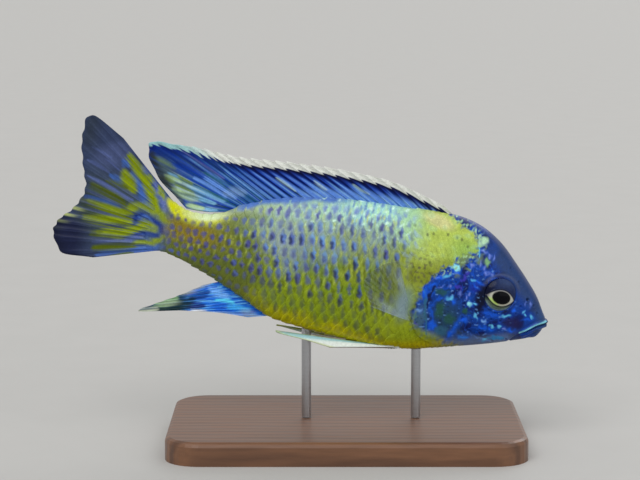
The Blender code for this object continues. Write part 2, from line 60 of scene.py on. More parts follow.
# Lines of the body: s, back, belly, half breadth, height of the greatest breadth
BODY_LINES = (
    (0.0, 0.3, -1.7, 1.3, -0.6),
    (1.0, 1.6, -4.0, 2.5, -0.9),
    (3.5, 5.2, -5.6, 3.7, -0.2),
    (7.0, 8.9, -7.1, 4.9, 0.6),
    (11.0, 12.6, -8.7, 6.1, 1.5),
    (15.5, 16.5, -10.3, 7.0, 2.4),
    (21.0, 19.6, -12.1, 7.7, 2.9),
    (27.0, 21.1, -14.0, 8.1, 2.8),
    (34.0, 21.1, -15.9, 8.4, 2.4),
    (42.0, 20.3, -16.9, 8.5, 2.0),
    (52.0, 19.3, -17.1, 8.2, 1.7),
    (62.0, 17.9, -16.8, 7.2, 1.3),
    (70.0, 16.2, -16.2, 6.1, 0.9),
    (77.5, 13.5, -13.3, 4.9, 0.6),
    (84.0, 10.5, -10.9, 3.9, 0.2),
    (88.5, 7.4, -9.3, 3.3, -0.3),
    (94.0, 5.7, -7.8, 2.4, -0.7),
    (98.0, 5.9, -6.9, 1.6, -0.5),
    (101.0, 7.1, -6.4, 1.0, -0.4),
    (103.5, 8.4, -6.8, 0.62, 0.2),
    (106.0, 9.9, -7.4, 0.38, 0.8),
    (108.0, 10.8, -7.8, 0.14, 1.2),
)
# Behind here the body's flesh and scales thin out over the root of the tail fin
SKIN_LENGTH = 108.0
BACK_POWER = ((0.0, 0.85), (20.0, 0.95), (35.0, 1.15), (70.0, 1.1), (101.0, 0.7))
BELLY_POWER = ((0.0, 0.8), (20.0, 0.85), (45.0, 0.75), (70.0, 0.85), (101.0, 0.7))

EYE_AT = (13.9, 4.6)
EYE_RADIUS = 4.8
EYE_HALF_DEPTH = 3.0
EYE_PROUD = 1.35
NOSTRIL_AT = (6.4, 4.6)
MOUTH_LINE = ((-0.6, -0.75), (0.0, -0.8), (2.0, -1.6), (4.0, -3.2), (6.0, -4.8))
GILL_REAR = (
    (24.2, 6.6), (27.6, 7.6), (30.8, 5.6), (33.3, 1.6), (34.6, -3.4), (34.1, -8.2), (31.2, -11.4),
    (26.8, -12.6),
)

# The way across the body to each side, and the side's word in the names of pieces
SIDES = ((-1, "right"), (1, "left"))

# Guides of the dorsal and anal fins: ray number, s of its root, s and h of its tip
DORSAL_SPINES, DORSAL_RAYS = 16, 10
DORSAL_WAVE = (0.9, 0.9)
DORSAL_GUIDES = (
    (0, 30.4, 33.2, 22.9), (3, 38.5, 46.5, 25.6), (6, 46.6, 58.6, 25.7), (10, 57.6, 72.2, 24.5),
    (15, 71.5, 87.6, 22.4), (20, 80.4, 103.4, 21.7), (22, 83.3, 110.8, 20.1),
    (24, 86.0, 105.6, 11.9), (25, 87.7, 97.4, 6.9),
)
ANAL_ELEMENTS = 12
ANAL_GUIDES = (
    (0, 70.6, 75.4, -17.7), (1, 71.8, 81.5, -18.2), (3, 74.4, 92.5, -20.2), (5, 77.0, 103.5, -23.2),
    (7, 79.6, 99.6, -20.1), (9, 82.2, 94.2, -16.5), (11, 85.0, 88.6, -12.2),
)
CAUDAL_RAYS = 16
CAUDAL_WAVE = (0.5, 0.8)
# ray number, h of its root, s and h of its tip
CAUDAL_GUIDES = (
    (0, 6.8, 117.6, 19.8), (1, 5.7, 125.7, 23.5), (3, 3.7, 128.3, 18.2), (5, 1.9, 126.5, 10.9),
    (7, 0.2, 124.4, 4.6), (9, -1.4, 126.3, -1.0), (11, -2.9, 129.6, -5.4), (13, -4.4, 129.4, -10.0),
    (14, -5.2, 126.3, -13.2), (15, -5.9, 118.2, -12.3),
)
PECTORAL_RAYS = 14
# ray number, s and h of its root, s, y and h of its tip
PECTORAL_GUIDES = (
    (0, 36.9, -2.4, 42.6, 25.0, 9.6),
    (4, 36.6, -3.9, 46.8, 25.6, 7.2),
    (8, 36.2, -5.4, 49.6, 22.6, 2.2),
    (13, 35.6, -7.3, 46.0, 15.4, -4.8),
)
PELVIC_RAYS = 6
# ray number, s and y of its root, s, y and h of its tip
PELVIC_GUIDES = (
    (0, 36.2, 3.3, 53.0, 5.6, -19.2),
    (1, 36.8, 2.9, 66.0, 4.9, -18.9),
    (3, 38.0, 2.2, 62.0, 3.4, -18.3),
    (5, 39.4, 1.5, 54.0, 2.0, -17.8),
)

# The camera of the photograph, which is 640 by 480 pixels
PHOTO_WIDTH = 640
MM_PER_PIXEL = 0.259197
SNOUT_TO_MIDDLE_PIXELS = (226.6, 81.2)
CAMERA_DISTANCE = 550.0
CAMERA_ELEVATION_DEG = 8.0
SENSOR_WIDTH = 36.0


def rgb(red, green, blue):
    """Light values of a colour given as it looks, 0 to 255."""
    c = np.array([red, green, blue]) / 255.0
    return np.where(c <= 0.04045, c / 12.92, ((c + 0.055) / 1.055) ** 2.4)


def curve(knots, x):
    """Values at x of the smooth curve through knots, which are (x, value) pairs."""
    at, value = np.array(knots, float).T
    gap = np.diff(at)
    chord = np.diff(value) / gap
    slope = np.empty_like(value)
    slope[0], slope[-1] = chord[0], chord[-1]
    slope[1:-1] = (chord[:-1] * gap[1:] + chord[1:] * gap[:-1]) / (gap[1:] + gap[:-1])
    x = np.clip(x, at[0], at[-1])
    i = np.clip(np.searchsorted(at, x, "right") - 1, 0, len(gap) - 1)
    t = (x - at[i]) / gap[i]
    rise = gap[i] * t * (1 - t)
    ease = t * t * (3 - 2 * t)
    return value[i] + (value[i + 1] - value[i]) * ease + rise * (slope[i] * (1 - t) - slope[i + 1] * t)


def column(table, k):
    """Column k of a table against its first column, as knots."""
    return [(row[0], row[k]) for row in table]


def smooth_line(points, steps=6):
    """Points of a smooth line through the given ones."""
    last = len(points) - 1
    at = np.linspace(0, last, last * steps + 1)
    return np.stack([curve([(i, p[a]) for i, p in enumerate(points)], at) for a in (0, 1)], 1)


def ramp(x, zero, one):
    """A smooth step from 0 at zero to 1 at one."""
    t = np.clip((np.asarray(x, float) - zero) / (one - zero), 0.0, 1.0)
    return t * t * (3 - 2 * t)


def bell(x, middle, width):
    """A soft bump of height 1 at the middle."""
    return np.exp(-(((x - middle) / width) ** 2))


def ripple(x, y, size, seed):
    """Smooth noise over (x, y), about -1 to 1, with blotches about size across."""
    rng = np.random.default_rng(seed)
    total = 0.0
    for _ in range(10):
        heading = rng.uniform(0, 2 * np.pi)
        rate = np.pi / size * rng.uniform(0.6, 1.5)
        phase = rng.uniform(0, 2 * np.pi)
        total = total + np.sin((x * np.cos(heading) + y * np.sin(heading)) * rate + phase)
    return total / 3.0


def chance(k, q, n):
    """A steady random number from 0 to 1 for scale q of row k."""
    value = np.sin(k * 12.9898 + q * 78.233 + n * 37.719) * 43758.5453
    return value - np.floor(value)


def sway(s):
    """How far the swimming bend carries the midline to the fish's left."""
    reach = np.maximum(0.0, s - SWAY_STARTS) / (TOTAL_LENGTH - SWAY_STARTS)
    return TAIL_SWAY * reach * reach


def place(s, y, h):
    """The part's own coordinates, in metres, of places on the fish in millimetres."""
    tilt = math.radians(NOSE_DOWN_DEG)
    x = SNOUT_X - s * math.cos(tilt) + h * math.sin(tilt)
    z = SNOUT_Z + s * math.sin(tilt) + h * math.cos(tilt)
    return np.stack([x, y + sway(s), z], -1) * MM


# The body's surface as tables over stations along it and shares of its girth, which are
# measured over many small turns from the back to the belly
STATION_STEP = 0.25
SHARES = 401
TURNS = 721
# Arc to a millimetre of height above the back or below the belly
PAST_ENDS = 1.5
STATIONS = np.arange(0.0, SKIN_LENGTH + STATION_STEP / 2, STATION_STEP)


def back(s):
    """Height of the back at station s."""
    return curve(column(BODY_LINES, 1), s)


def belly(s):
    """Height of the belly at station s."""
    return curve(column(BODY_LINES, 2), s)


def body_tables():
    """Half breadth, height and outward direction on the grid, and the girth of a side."""
    turn = np.linspace(np.pi / 2, -np.pi / 2, TURNS)
    above = turn >= 0
    s = STATIONS[:, None]
    breadth, level = (curve(column(BODY_LINES, k), s) for k in (3, 4))
    power = np.where(above, curve(BACK_POWER, s), curve(BELLY_POWER, s))
    y = breadth * np.maximum(np.cos(turn), 0.0) ** power
    h = level + np.where(above, back(s) - level, level - belly(s)) * np.sin(turn)
    steps = np.hypot(np.diff(y, axis=1), np.diff(h, axis=1))
    arc = np.concatenate([np.zeros_like(s), np.cumsum(steps, axis=1)], axis=1)
    girth = arc[:, -1]
    share = np.linspace(0.0, 1.0, SHARES)
    number = np.arange(TURNS)
    even = [np.interp(share * whole, row, number) for whole, row in zip(girth, arc)]
    y, h = (np.stack([np.interp(e, number, v) for e, v in zip(even, rows)]) for rows in (y, h))
    y_s, y_f = np.gradient(y, STATION_STEP, share)
    h_s, h_f = np.gradient(h, STATION_STEP, share)
    along = np.stack([-np.ones_like(y), y_s, h_s], -1)
    round_ = np.stack([np.zeros_like(y), y_f, h_f], -1)
    out = np.cross(round_, along)
    out[:, 0, 1] = out[:, -1, 1] = 0.0
    out /= np.linalg.norm(out, axis=-1, keepdims=True)
    return y, h, out, girth


BODY_Y, BODY_H, BODY_OUT, GIRTHS = body_tables()


def look_up(table, s, share):
    """A value from a body table, smoothly between its stations and shares."""
    i = np.clip(s / STATION_STEP, 0, len(STATIONS) - 1.001)
    j = np.clip(share * (SHARES - 1), 0, SHARES - 1.001)
    i0, j0 = i.astype(int), j.astype(int)
    ti, tj = i - i0, j - j0
    if table.ndim == 3:
        ti, tj = ti[..., None], tj[..., None]
    near = table[i0, j0] * (1 - tj) + table[i0, j0 + 1] * tj
    far = table[i0 + 1, j0] * (1 - tj) + table[i0 + 1, j0 + 1] * tj
    return near * (1 - ti) + far * ti


def girth(s):
    """How far it is round one side, from back to belly, at station s."""
    return np.interp(s, STATIONS, GIRTHS)


def on_skin(s, share, side, lift):
    """Places on the body, lifted off the skin by lift millimetres."""
    s, share, side, lift = np.broadcast_arrays(s, share, side, lift)
    out = look_up(BODY_OUT, s, share)
    y = look_up(BODY_Y, s, share) + lift * out[..., 1]
    h = look_up(BODY_H, s, share) + lift * out[..., 2]
    return place(s - lift * out[..., 0], side * y, h)


def arc_at(s, h):
    """How far round from the back height h lies at station s, past the ends in a straight line."""
    row = np.clip(np.rint(s / STATION_STEP).astype(int), 0, len(STATIONS) - 1)
    found = np.empty_like(h)
    for n, (i, height) in enumerate(zip(row, h)):
        found[n] = np.interp(-height, -BODY_H[i], np.linspace(0, GIRTHS[i], SHARES))
    over = np.maximum(0.0, h - back(s)) - np.maximum(0.0, belly(s) - h)
    return found - over * PAST_ENDS


def line_distance(line, s, h):
    """Distance from each place to a line of points, and how far along it the nearest lies."""
    nearest = np.full(s.shape, 1e9)
    along = np.zeros(s.shape)
    for n, ((s0, h0), (s1, h1)) in enumerate(zip(line, line[1:])):
        ds, dh = s1 - s0, h1 - h0
        t = np.clip(((s - s0) * ds + (h - h0) * dh) / (ds * ds + dh * dh), 0, 1)
        away = np.hypot(s - s0 - t * ds, h - h0 - t * dh)
        closer = away < nearest
        nearest = np.where(closer, away, nearest)
        along = np.where(closer, n + t, along)
    return nearest, along / (len(line) - 1)


def inside(outline, s, h):
    """Distance from a closed outline, positive inside it."""
    away, _ = line_distance(outline, s, h)
    odd = np.zeros(s.shape, bool)
    for (s0, h0), (s1, h1) in zip(outline, outline[1:]):
        if h0 == h1:
            continue
        crosses = (h0 > h) != (h1 > h)
        odd ^= crosses & (s < (s1 - s0) * (h - h0) / (h1 - h0) + s0)
    return np.where(odd, away, -away)


# Scale rows: s, then the heights of rows 2, 3, 5, 8 and 11, counted down from the back
ROW_LINES = (
    (20.0, 13.4, 11.0, 3.6, -6.2, -14.0),
    (38.0, 13.6, 11.3, 3.9, -6.3, -14.4),
    (45.0, 14.2, 11.7, 4.2, -6.4, -14.6),
    (60.0, 13.8, 11.3, 3.7, -6.9, -15.0),
    (70.0, 12.4, 9.2, 2.4, -7.0, -15.4),
    (80.0, 10.7, 7.7, 1.5, -6.8, -14.0),
    (90.0, 8.4, 6.0, 1.1, -6.0, -12.0),
    (101.0, 8.2, 5.8, 0.9, -5.4, -11.0),
    (108.0, 11.5, 8.2, 1.6, -6.0, -12.0),
)
ROW_NUMBERS = np.array([2.0, 3.0, 5.0, 8.0, 11.0])
ROW_PITCH = 3.0
# Column number of a scale against s; odd rows sit half a column further back
COLUMN_KNOTS = ((-10, 12.1), (-6, 23.0), (0, 39.4), (9, 64.1), (17, 83.6), (25, 101.0), (29, 108.0))
ROW_ARCS = np.stack(
    [arc_at(STATIONS, curve(column(ROW_LINES, k), STATIONS)) for k in range(1, 6)], 1
)


def guide_arcs(s):
    """How far round from the back each of the guide rows runs at station s."""
    return [np.interp(s, STATIONS, ROW_ARCS[:, n]) for n in range(len(ROW_NUMBERS))]


def broken_line(x, at, value, slope):
    """Values at x of straight lines through (at, value) pairs, with one slope past both ends."""
    found = value[0] + (x - at[0]) * slope
    for n in range(len(at) - 1):
        t = (x - at[n]) / (at[n + 1] - at[n])
        found = np.where(t > 0, value[n] + (value[n + 1] - value[n]) * t, found)
    return np.where(x > at[-1], value[-1] + (x - at[-1]) * slope, found)


def row_arc(k, s):
    """How far round from the back row k runs at station s."""
    return broken_line(k, ROW_NUMBERS, guide_arcs(s), ROW_PITCH)


def row_at(s, arc):
    """The row number, not rounded, at a distance round from the back."""
    return broken_line(arc, guide_arcs(s), ROW_NUMBERS, 1 / ROW_PITCH)


COLUMN_OF = [(s, q) for q, s in COLUMN_KNOTS]


def column_s(q):
    """Where column q lies along the body."""
    return curve(COLUMN_KNOTS, q)


# Palette, as the colours look
NAVY_BLACK = rgb(10, 14, 44)
HEAD_NAVY = rgb(6, 28, 94)
HEAD_ROYAL = rgb(8, 58, 146)
HEAD_ELECTRIC = rgb(18, 90, 220)
HEAD_SLATE = rgb(38, 62, 106)
LILAC = rgb(104, 128, 210)
VIOLET = rgb(56, 54, 172)
TURQUOISE = rgb(92, 182, 226)
PALE_TURQUOISE = rgb(140, 222, 236)
MINT = rgb(176, 216, 178)
TEAL = rgb(52, 112, 140)
GILL_GREEN = rgb(36, 84, 70)
GILL_HAZE = rgb(34, 66, 88)
RIDGE_GREY = rgb(76, 84, 118)
LID_GREY = rgb(70, 82, 118)
SNOUT_BLUE = rgb(46, 76, 124)
CHIN_BLUE = rgb(108, 132, 172)
GULLET_GREEN = rgb(126, 144, 84)
OLIVE_GREEN = rgb(112, 134, 76)
NAPE_YELLOW = rgb(172, 192, 86)
NAPE_GREEN = rgb(146, 180, 80)
NAPE_ROSE = rgb(206, 202, 148)
NAPE_OLIVE = rgb(124, 134, 30)
DOT_OLIVE = rgb(70, 78, 50)
FRECKLE_BROWN = rgb(84, 78, 62)
SHOULDER_MINT = rgb(164, 206, 156)
UPPER_TURQUOISE = rgb(160, 214, 208)
UPPER_GREEN = rgb(158, 182, 116)
UPPER_HAZE_AND_SHEEN = rgb(128, 152, 164)
REAR_SHADE = rgb(88, 100, 38)
FLANK_LIME = rgb(132, 148, 50)
FLANK_MOSS = rgb(86, 128, 32)
LOWER_GREEN = rgb(132, 152, 20)
REAR_OLIVE = rgb(100, 114, 42)
BELLY_GOLD = rgb(186, 180, 4)
CHEST_LIME = rgb(150, 168, 34)
STALK_OLIVE = rgb(106, 116, 48)
STALK_OCHRE = rgb(136, 114, 24)
STALK_YELLOW = rgb(196, 202, 60)
STALK_CREAM = rgb(206, 222, 176)
SPOT_SKY = rgb(108, 158, 226)
SPOT_BLUE = rgb(72, 98, 184)
SPOT_VIOLET = rgb(76, 80, 146)
SPOT_PALE = rgb(128, 156, 206)
SPOT_DARK = rgb(26, 34, 62)
SPOT_DULL = rgb(62, 72, 66)
SPOT_HIGHLIGHT = rgb(136, 152, 200)
SPOT_PLUM = rgb(84, 76, 92)
GLINT_MINT = rgb(206, 244, 222)
BACK_BLUE = rgb(84, 120, 190)
UPPER_MINT = rgb(184, 232, 186)
DEEP_OLIVE = rgb(78, 88, 14)
GLINT_LIME = rgb(188, 202, 92)
TAIL_LOBE_YELLOW = rgb(204, 208, 8)
THROAT_GREY = rgb(130, 140, 92)
FIN_ROOT_GREY = rgb(120, 146, 146)

# The blue of the head ends along this line; it runs from the dorsal fin to the throat
HEAD_OUTLINE = (
    (31.0, 20.9), (29.0, 20.1), (26.2, 18.8), (23.6, 17.6), (22.4, 15.6), (22.9, 13.6),
    (25.2, 12.6), (26.8, 11.0), (27.8, 9.4), (29.2, 7.8), (31.2, 6.4), (32.8, 4.2), (34.1, 1.2),
    (34.8, -3.0), (34.3, -7.0), (32.4, -9.6), (28.0, -10.8), (23.0, -11.2), (18.5, -12.4),
)
HEAD_CLOSING = ((14.0, -18.0), (-6.0, -14.0), (-8.0, 10.0), (8.0, 26.0), (31.0, 26.0))
HEAD_EDGE = np.concatenate([smooth_line(HEAD_OUTLINE, 4), HEAD_CLOSING, HEAD_OUTLINE[:1]])

# Broad soft shades of the head: s, h, half length, half width, slope, colour, strength
HEAD_SHADES = (
    (26.0, -4.6, 4.6, 6.0, 0, GILL_HAZE, 0.8),
    (32.6, -6.0, 1.8, 4.4, 0, rgb(70, 104, 116), 0.75),
    (22.0, -8.6, 7.0, 2.0, 0, rgb(56, 80, 112), 0.7),
    (20.4, 5.0, 1.8, 1.6, 0, rgb(26, 34, 160), 0.55),
    (18.5, 2.8, 1.9, 4.8, 0, rgb(2, 5, 26), 0.95),
    (9.0, -2.1, 3.0, 1.7, 0, rgb(30, 26, 76), 0.85),
    (15.2, -0.9, 2.6, 0.7, 0, HEAD_ELECTRIC, 0.6),
)

# Marks on the head: s, h, half length, half width, slope in degrees, colour, strength
HEAD_MARKS = (
    (28.8, 2.0, 1.8, 0.9, 0, GILL_GREEN, 0.8),
    (28.2, -2.6, 1.1, 2.2, 0, GILL_GREEN, 0.8),
    (25.2, -4.6, 1.4, 1.4, 0, GILL_GREEN, 0.8),
    (26.4, -8.2, 1.6, 1.4, 0, TEAL, 0.5),
    (21.6, -1.6, 0.9, 0.7, 0, GILL_GREEN, 0.9),
    (25.4, 11.2, 1.1, 1.7, -10, OLIVE_GREEN, 0.9),
    (23.9, 12.5, 1.8, 0.5, 0, OLIVE_GREEN, 0.9),
    (21.2, 12.1, 0.8, 1.1, 0, OLIVE_GREEN, 0.7),
    (23.6, 9.1, 0.7, 0.5, 0, OLIVE_GREEN, 0.8),
    (25.9, 9.5, 0.5, 0.9, 0, OLIVE_GREEN, 0.7),
    (26.0, 7.0, 0.8, 0.6, 0, OLIVE_GREEN, 0.5),
    (19.2, 11.9, 0.75, 1.0, 0, rgb(128, 176, 118), 0.9),
    (21.0, 16.8, 1.15, 0.95, 20, MINT, 1.0),
    (22.2, 15.9, 0.6, 0.45, 10, MINT, 0.9),
    (23.8, 18.7, 0.25, 0.6, 15, MINT, 0.8),
    (24.8, 18.2, 0.35, 0.3, 0, MINT, 0.7),
    (22.3, 17.7, 0.4, 0.35, 0, MINT, 0.8),
    (26.6, 19.2, 0.3, 0.25, 0, MINT, 0.7),
    (28.2, 19.9, 0.3, 0.2, 0, MINT, 0.6),
    (21.9, 14.5, 0.3, 1.0, 8, TURQUOISE, 0.9),
    (20.7, 14.5, 0.9, 0.3, -12, LILAC, 0.8),
    (21.5, 13.2, 0.3, 0.45, 0, TURQUOISE, 0.7),
    (18.9, 13.6, 0.5, 0.4, 0, LILAC, 0.9),
    (17.7, 13.2, 0.25, 0.85, -12, LILAC, 0.8),
    (22.9, 10.4, 0.5, 0.45, 0, LILAC, 0.9),
    (20.6, 11.0, 0.3, 1.0, 0, LILAC, 0.6),
    (19.6, 10.3, 0.35, 0.6, 0, LILAC, 0.6),
    (18.7, 9.2, 0.9, 0.4, 10, LILAC, 0.8),
    (17.4, 9.0, 0.35, 0.3, 0, LILAC, 0.6),
    (26.8, 8.9, 1.05, 0.62, -10, PALE_TURQUOISE, 1.0),
    (26.2, 7.7, 0.8, 0.5, 0, HEAD_ELECTRIC, 0.8),
    (28.6, 6.3, 1.0, 0.35, 30, TURQUOISE, 0.9),
    (30.2, 5.4, 1.2, 0.35, 12, HEAD_ELECTRIC, 0.9),
    (29.6, 3.2, 0.7, 0.2, 20, LILAC, 0.8),
    (21.6, 6.7, 0.5, 0.35, 0, TURQUOISE, 0.8),
    (20.3, 6.5, 1.3, 0.3, -8, HEAD_ELECTRIC, 0.7),
    (20.6, 5.3, 1.0, 0.35, -20, HEAD_ELECTRIC, 0.6),
    (24.0, 6.8, 0.4, 0.7, 0, VIOLET, 0.9),
    (24.7, 6.0, 0.6, 0.35, 0, VIOLET, 0.9),
    (23.6, 8.3, 0.3, 0.6, 0, VIOLET, 0.9),
    (27.1, 4.0, 0.5, 0.45, 0, LILAC, 0.7),
    (25.4, 4.2, 0.55, 0.4, 0, VIOLET, 0.9),
    (24.2, 3.9, 0.4, 0.6, 0, VIOLET, 0.9),
    (24.1, 2.7, 0.5, 0.5, 0, LILAC, 0.5),
    (21.8, 3.0, 0.3, 0.5, 15, LILAC, 0.9),
    (22.2, 2.0, 0.25, 0.4, 0, LILAC, 0.8),
    (21.1, 0.45, 0.55, 0.55, 0, PALE_TURQUOISE, 1.0),
    (19.8, 0.75, 0.6, 0.28, 12, TURQUOISE, 1.0),
    (19.9, 1.5, 0.25, 0.2, 0, TURQUOISE, 0.8),
    (26.3, 0.8, 0.9, 0.55, 0, TURQUOISE, 0.9),
    (25.2, 0.2, 0.6, 0.5, 0, HEAD_ELECTRIC, 0.8),
    (18.8, -2.1, 0.25, 1.0, 28, TURQUOISE, 0.8),
    (18.2, -1.3, 0.2, 0.3, 0, TURQUOISE, 0.7),
    (16.3, -3.1, 0.6, 0.42, 0, SPOT_SKY, 1.0),
    (13.9, -4.0, 0.5, 0.4, 0, TURQUOISE, 1.0),
    (12.0, -3.7, 0.5, 0.38, 0, TURQUOISE, 0.9),
    (10.5, -3.9, 0.35, 0.33, 0, LILAC, 0.9),
    (8.7, -4.2, 1.0, 0.42, 0, HEAD_ELECTRIC, 1.0),
    (16.1, -5.0, 0.9, 0.5, 0, HEAD_ELECTRIC, 0.8),
    (13.8, -5.0, 0.7, 0.4, 0, HEAD_ELECTRIC, 0.8),
    (11.0, -0.5, 1.1, 0.38, 15, TURQUOISE, 1.0),
    (9.3, 1.3, 0.5, 0.45, 0, HEAD_ELECTRIC, 1.0),
    (6.7, 1.4, 0.25, 0.5, -20, TURQUOISE, 0.7),
    (6.1, 0.7, 0.4, 0.35, 0, TURQUOISE, 0.8),
    (4.3, 0.6, 0.65, 0.33, -35, TURQUOISE, 0.7),
    (5.3, -0.4, 1.2, 0.35, 8, HEAD_ELECTRIC, 0.4),
    (5.4, 3.7, 0.35, 0.7, 0, LILAC, 0.6),
    (6.7, 3.6, 0.25, 0.6, 0, LILAC, 0.5),
    (11.6, -7.0, 2.3, 0.6, 12, rgb(56, 134, 200), 1.0),
    (14.3, -8.1, 1.0, 0.35, 25, TURQUOISE, 0.7),
    (20.3, -8.7, 1.4, 0.5, 10, rgb(50, 120, 220), 0.9),
    (23.9, -8.8, 0.6, 1.2, -10, HEAD_ELECTRIC, 0.7),
    (23.1, -6.4, 0.6, 2.0, -15, HEAD_ELECTRIC, 0.5),
    (21.5, -4.0, 0.9, 0.8, 0, HEAD_ELECTRIC, 0.9),
    (28.9, -7.2, 0.8, 1.3, 10, HEAD_ELECTRIC, 0.9),
    (33.1, 0.9, 0.75, 1.6, 22, HEAD_ELECTRIC, 1.0),
    (31.6, 3.2, 1.1, 0.4, 45, HEAD_ELECTRIC, 0.7),
    (33.4, -4.0, 0.8, 0.6, 0, SPOT_SKY, 0.7),
    (33.2, -7.6, 0.9, 0.4, -30, VIOLET, 0.9),
    (34.0, -5.6, 0.3, 1.0, 0, TEAL, 0.8),
)
# The glow round a bright mark and its lighter middle are painted light: a painted glow and a painted
# highlight
# A mark is laid three times: a glow round it, its own colour and a lighter middle. For each of
# these: its name, its size against the mark and its strength. Dull marks have only their colour
MARK_LAYERS = (("glow", 1.9, 0.3), ("colour", 1.15, 1.0), ("middle", 0.6, 0.5))
BRIGHT_BLUE_LIGHT = 0.6
THIN_BAND = 0.25
# Bands on the head: colour, half width, strength, places (s, h) along it
HEAD_BANDS = (
    (NAVY_BLACK, 0.35, 0.8, ((30.9, 3.0), (31.6, 1.0), (31.7, -0.8), (31.4, -2.6))),
    (HEAD_ELECTRIC, 0.35, 0.6, (
        (28.3, 0.5), (29.9, -0.7), (30.8, -2.4), (30.1, -4.0), (29.4, -5.6), (29.2, -7.8),
    )),
    (TEAL, 0.3, 0.7, ((33.2, 1.6), (32.4, -0.6), (32.0, -3.4), (31.0, -6.2), (29.9, -9.4))),
    # The last band is a painted highlight along the lips
    (PALE_TURQUOISE, 0.24, 0.85, ((0.4, -0.2), (1.8, -0.9), (3.2, -1.8), (4.8, -3.1), (6.2, -4.3))),
)
# Dark dots on the yellow nape: s, h
NAPE_DOTS = (
    (35.8, 15.2), (34.3, 15.8), (30.6, 16.4), (28.2, 16.2), (25.0, 14.6), (26.9, 16.0),
    (39.4, 16.7), (36.4, 4.0), (34.6, 3.4), (37.6, 6.6), (33.6, 8.6),
)
# Soft patches of the flank, the first of them a painted sheen: s, h, half length, half height, colour,
# strength
FLANK_PATCHES_AND_SHEEN = (
    (71.0, 5.5, 4.0, 5.0, rgb(160, 182, 184), 0.5),
    (83.0, 9.0, 3.0, 3.0, rgb(92, 104, 56), 0.5),
    (62.5, 0.5, 5.0, 3.0, rgb(74, 104, 70), 0.45),
)


def plain(colour, places):
    """One colour at every one of the places."""
    return np.broadcast_to(colour, (*places.shape, 3)).copy()


def paint(tone, colour, mask):
    """Lays a colour over tone, in place, by mask from 0 to 1."""
    tone += (colour - tone) * mask[..., None]


def mark(s, h, middle_s, middle_h, half_length, half_width, slope_deg):
    """Soft mask of one oval mark, its long side sloping up towards the snout."""
    slope = math.radians(slope_deg)
    ds, dh = s - middle_s, h - middle_h
    along = -ds * math.cos(slope) + dh * math.sin(slope)
    across = ds * math.sin(slope) + dh * math.cos(slope)
    away = np.hypot(along / half_length, across / half_width)
    return 1.0 - ramp(away, 0.4, 1.3)


def paint_marks(tone, s, h, marks):
    """Paints marks from a table: s, h, half length, half width, slope, colour, strength."""
    for *form, colour, strength in marks:
        paint(tone, colour, strength * mark(s, h, *form))


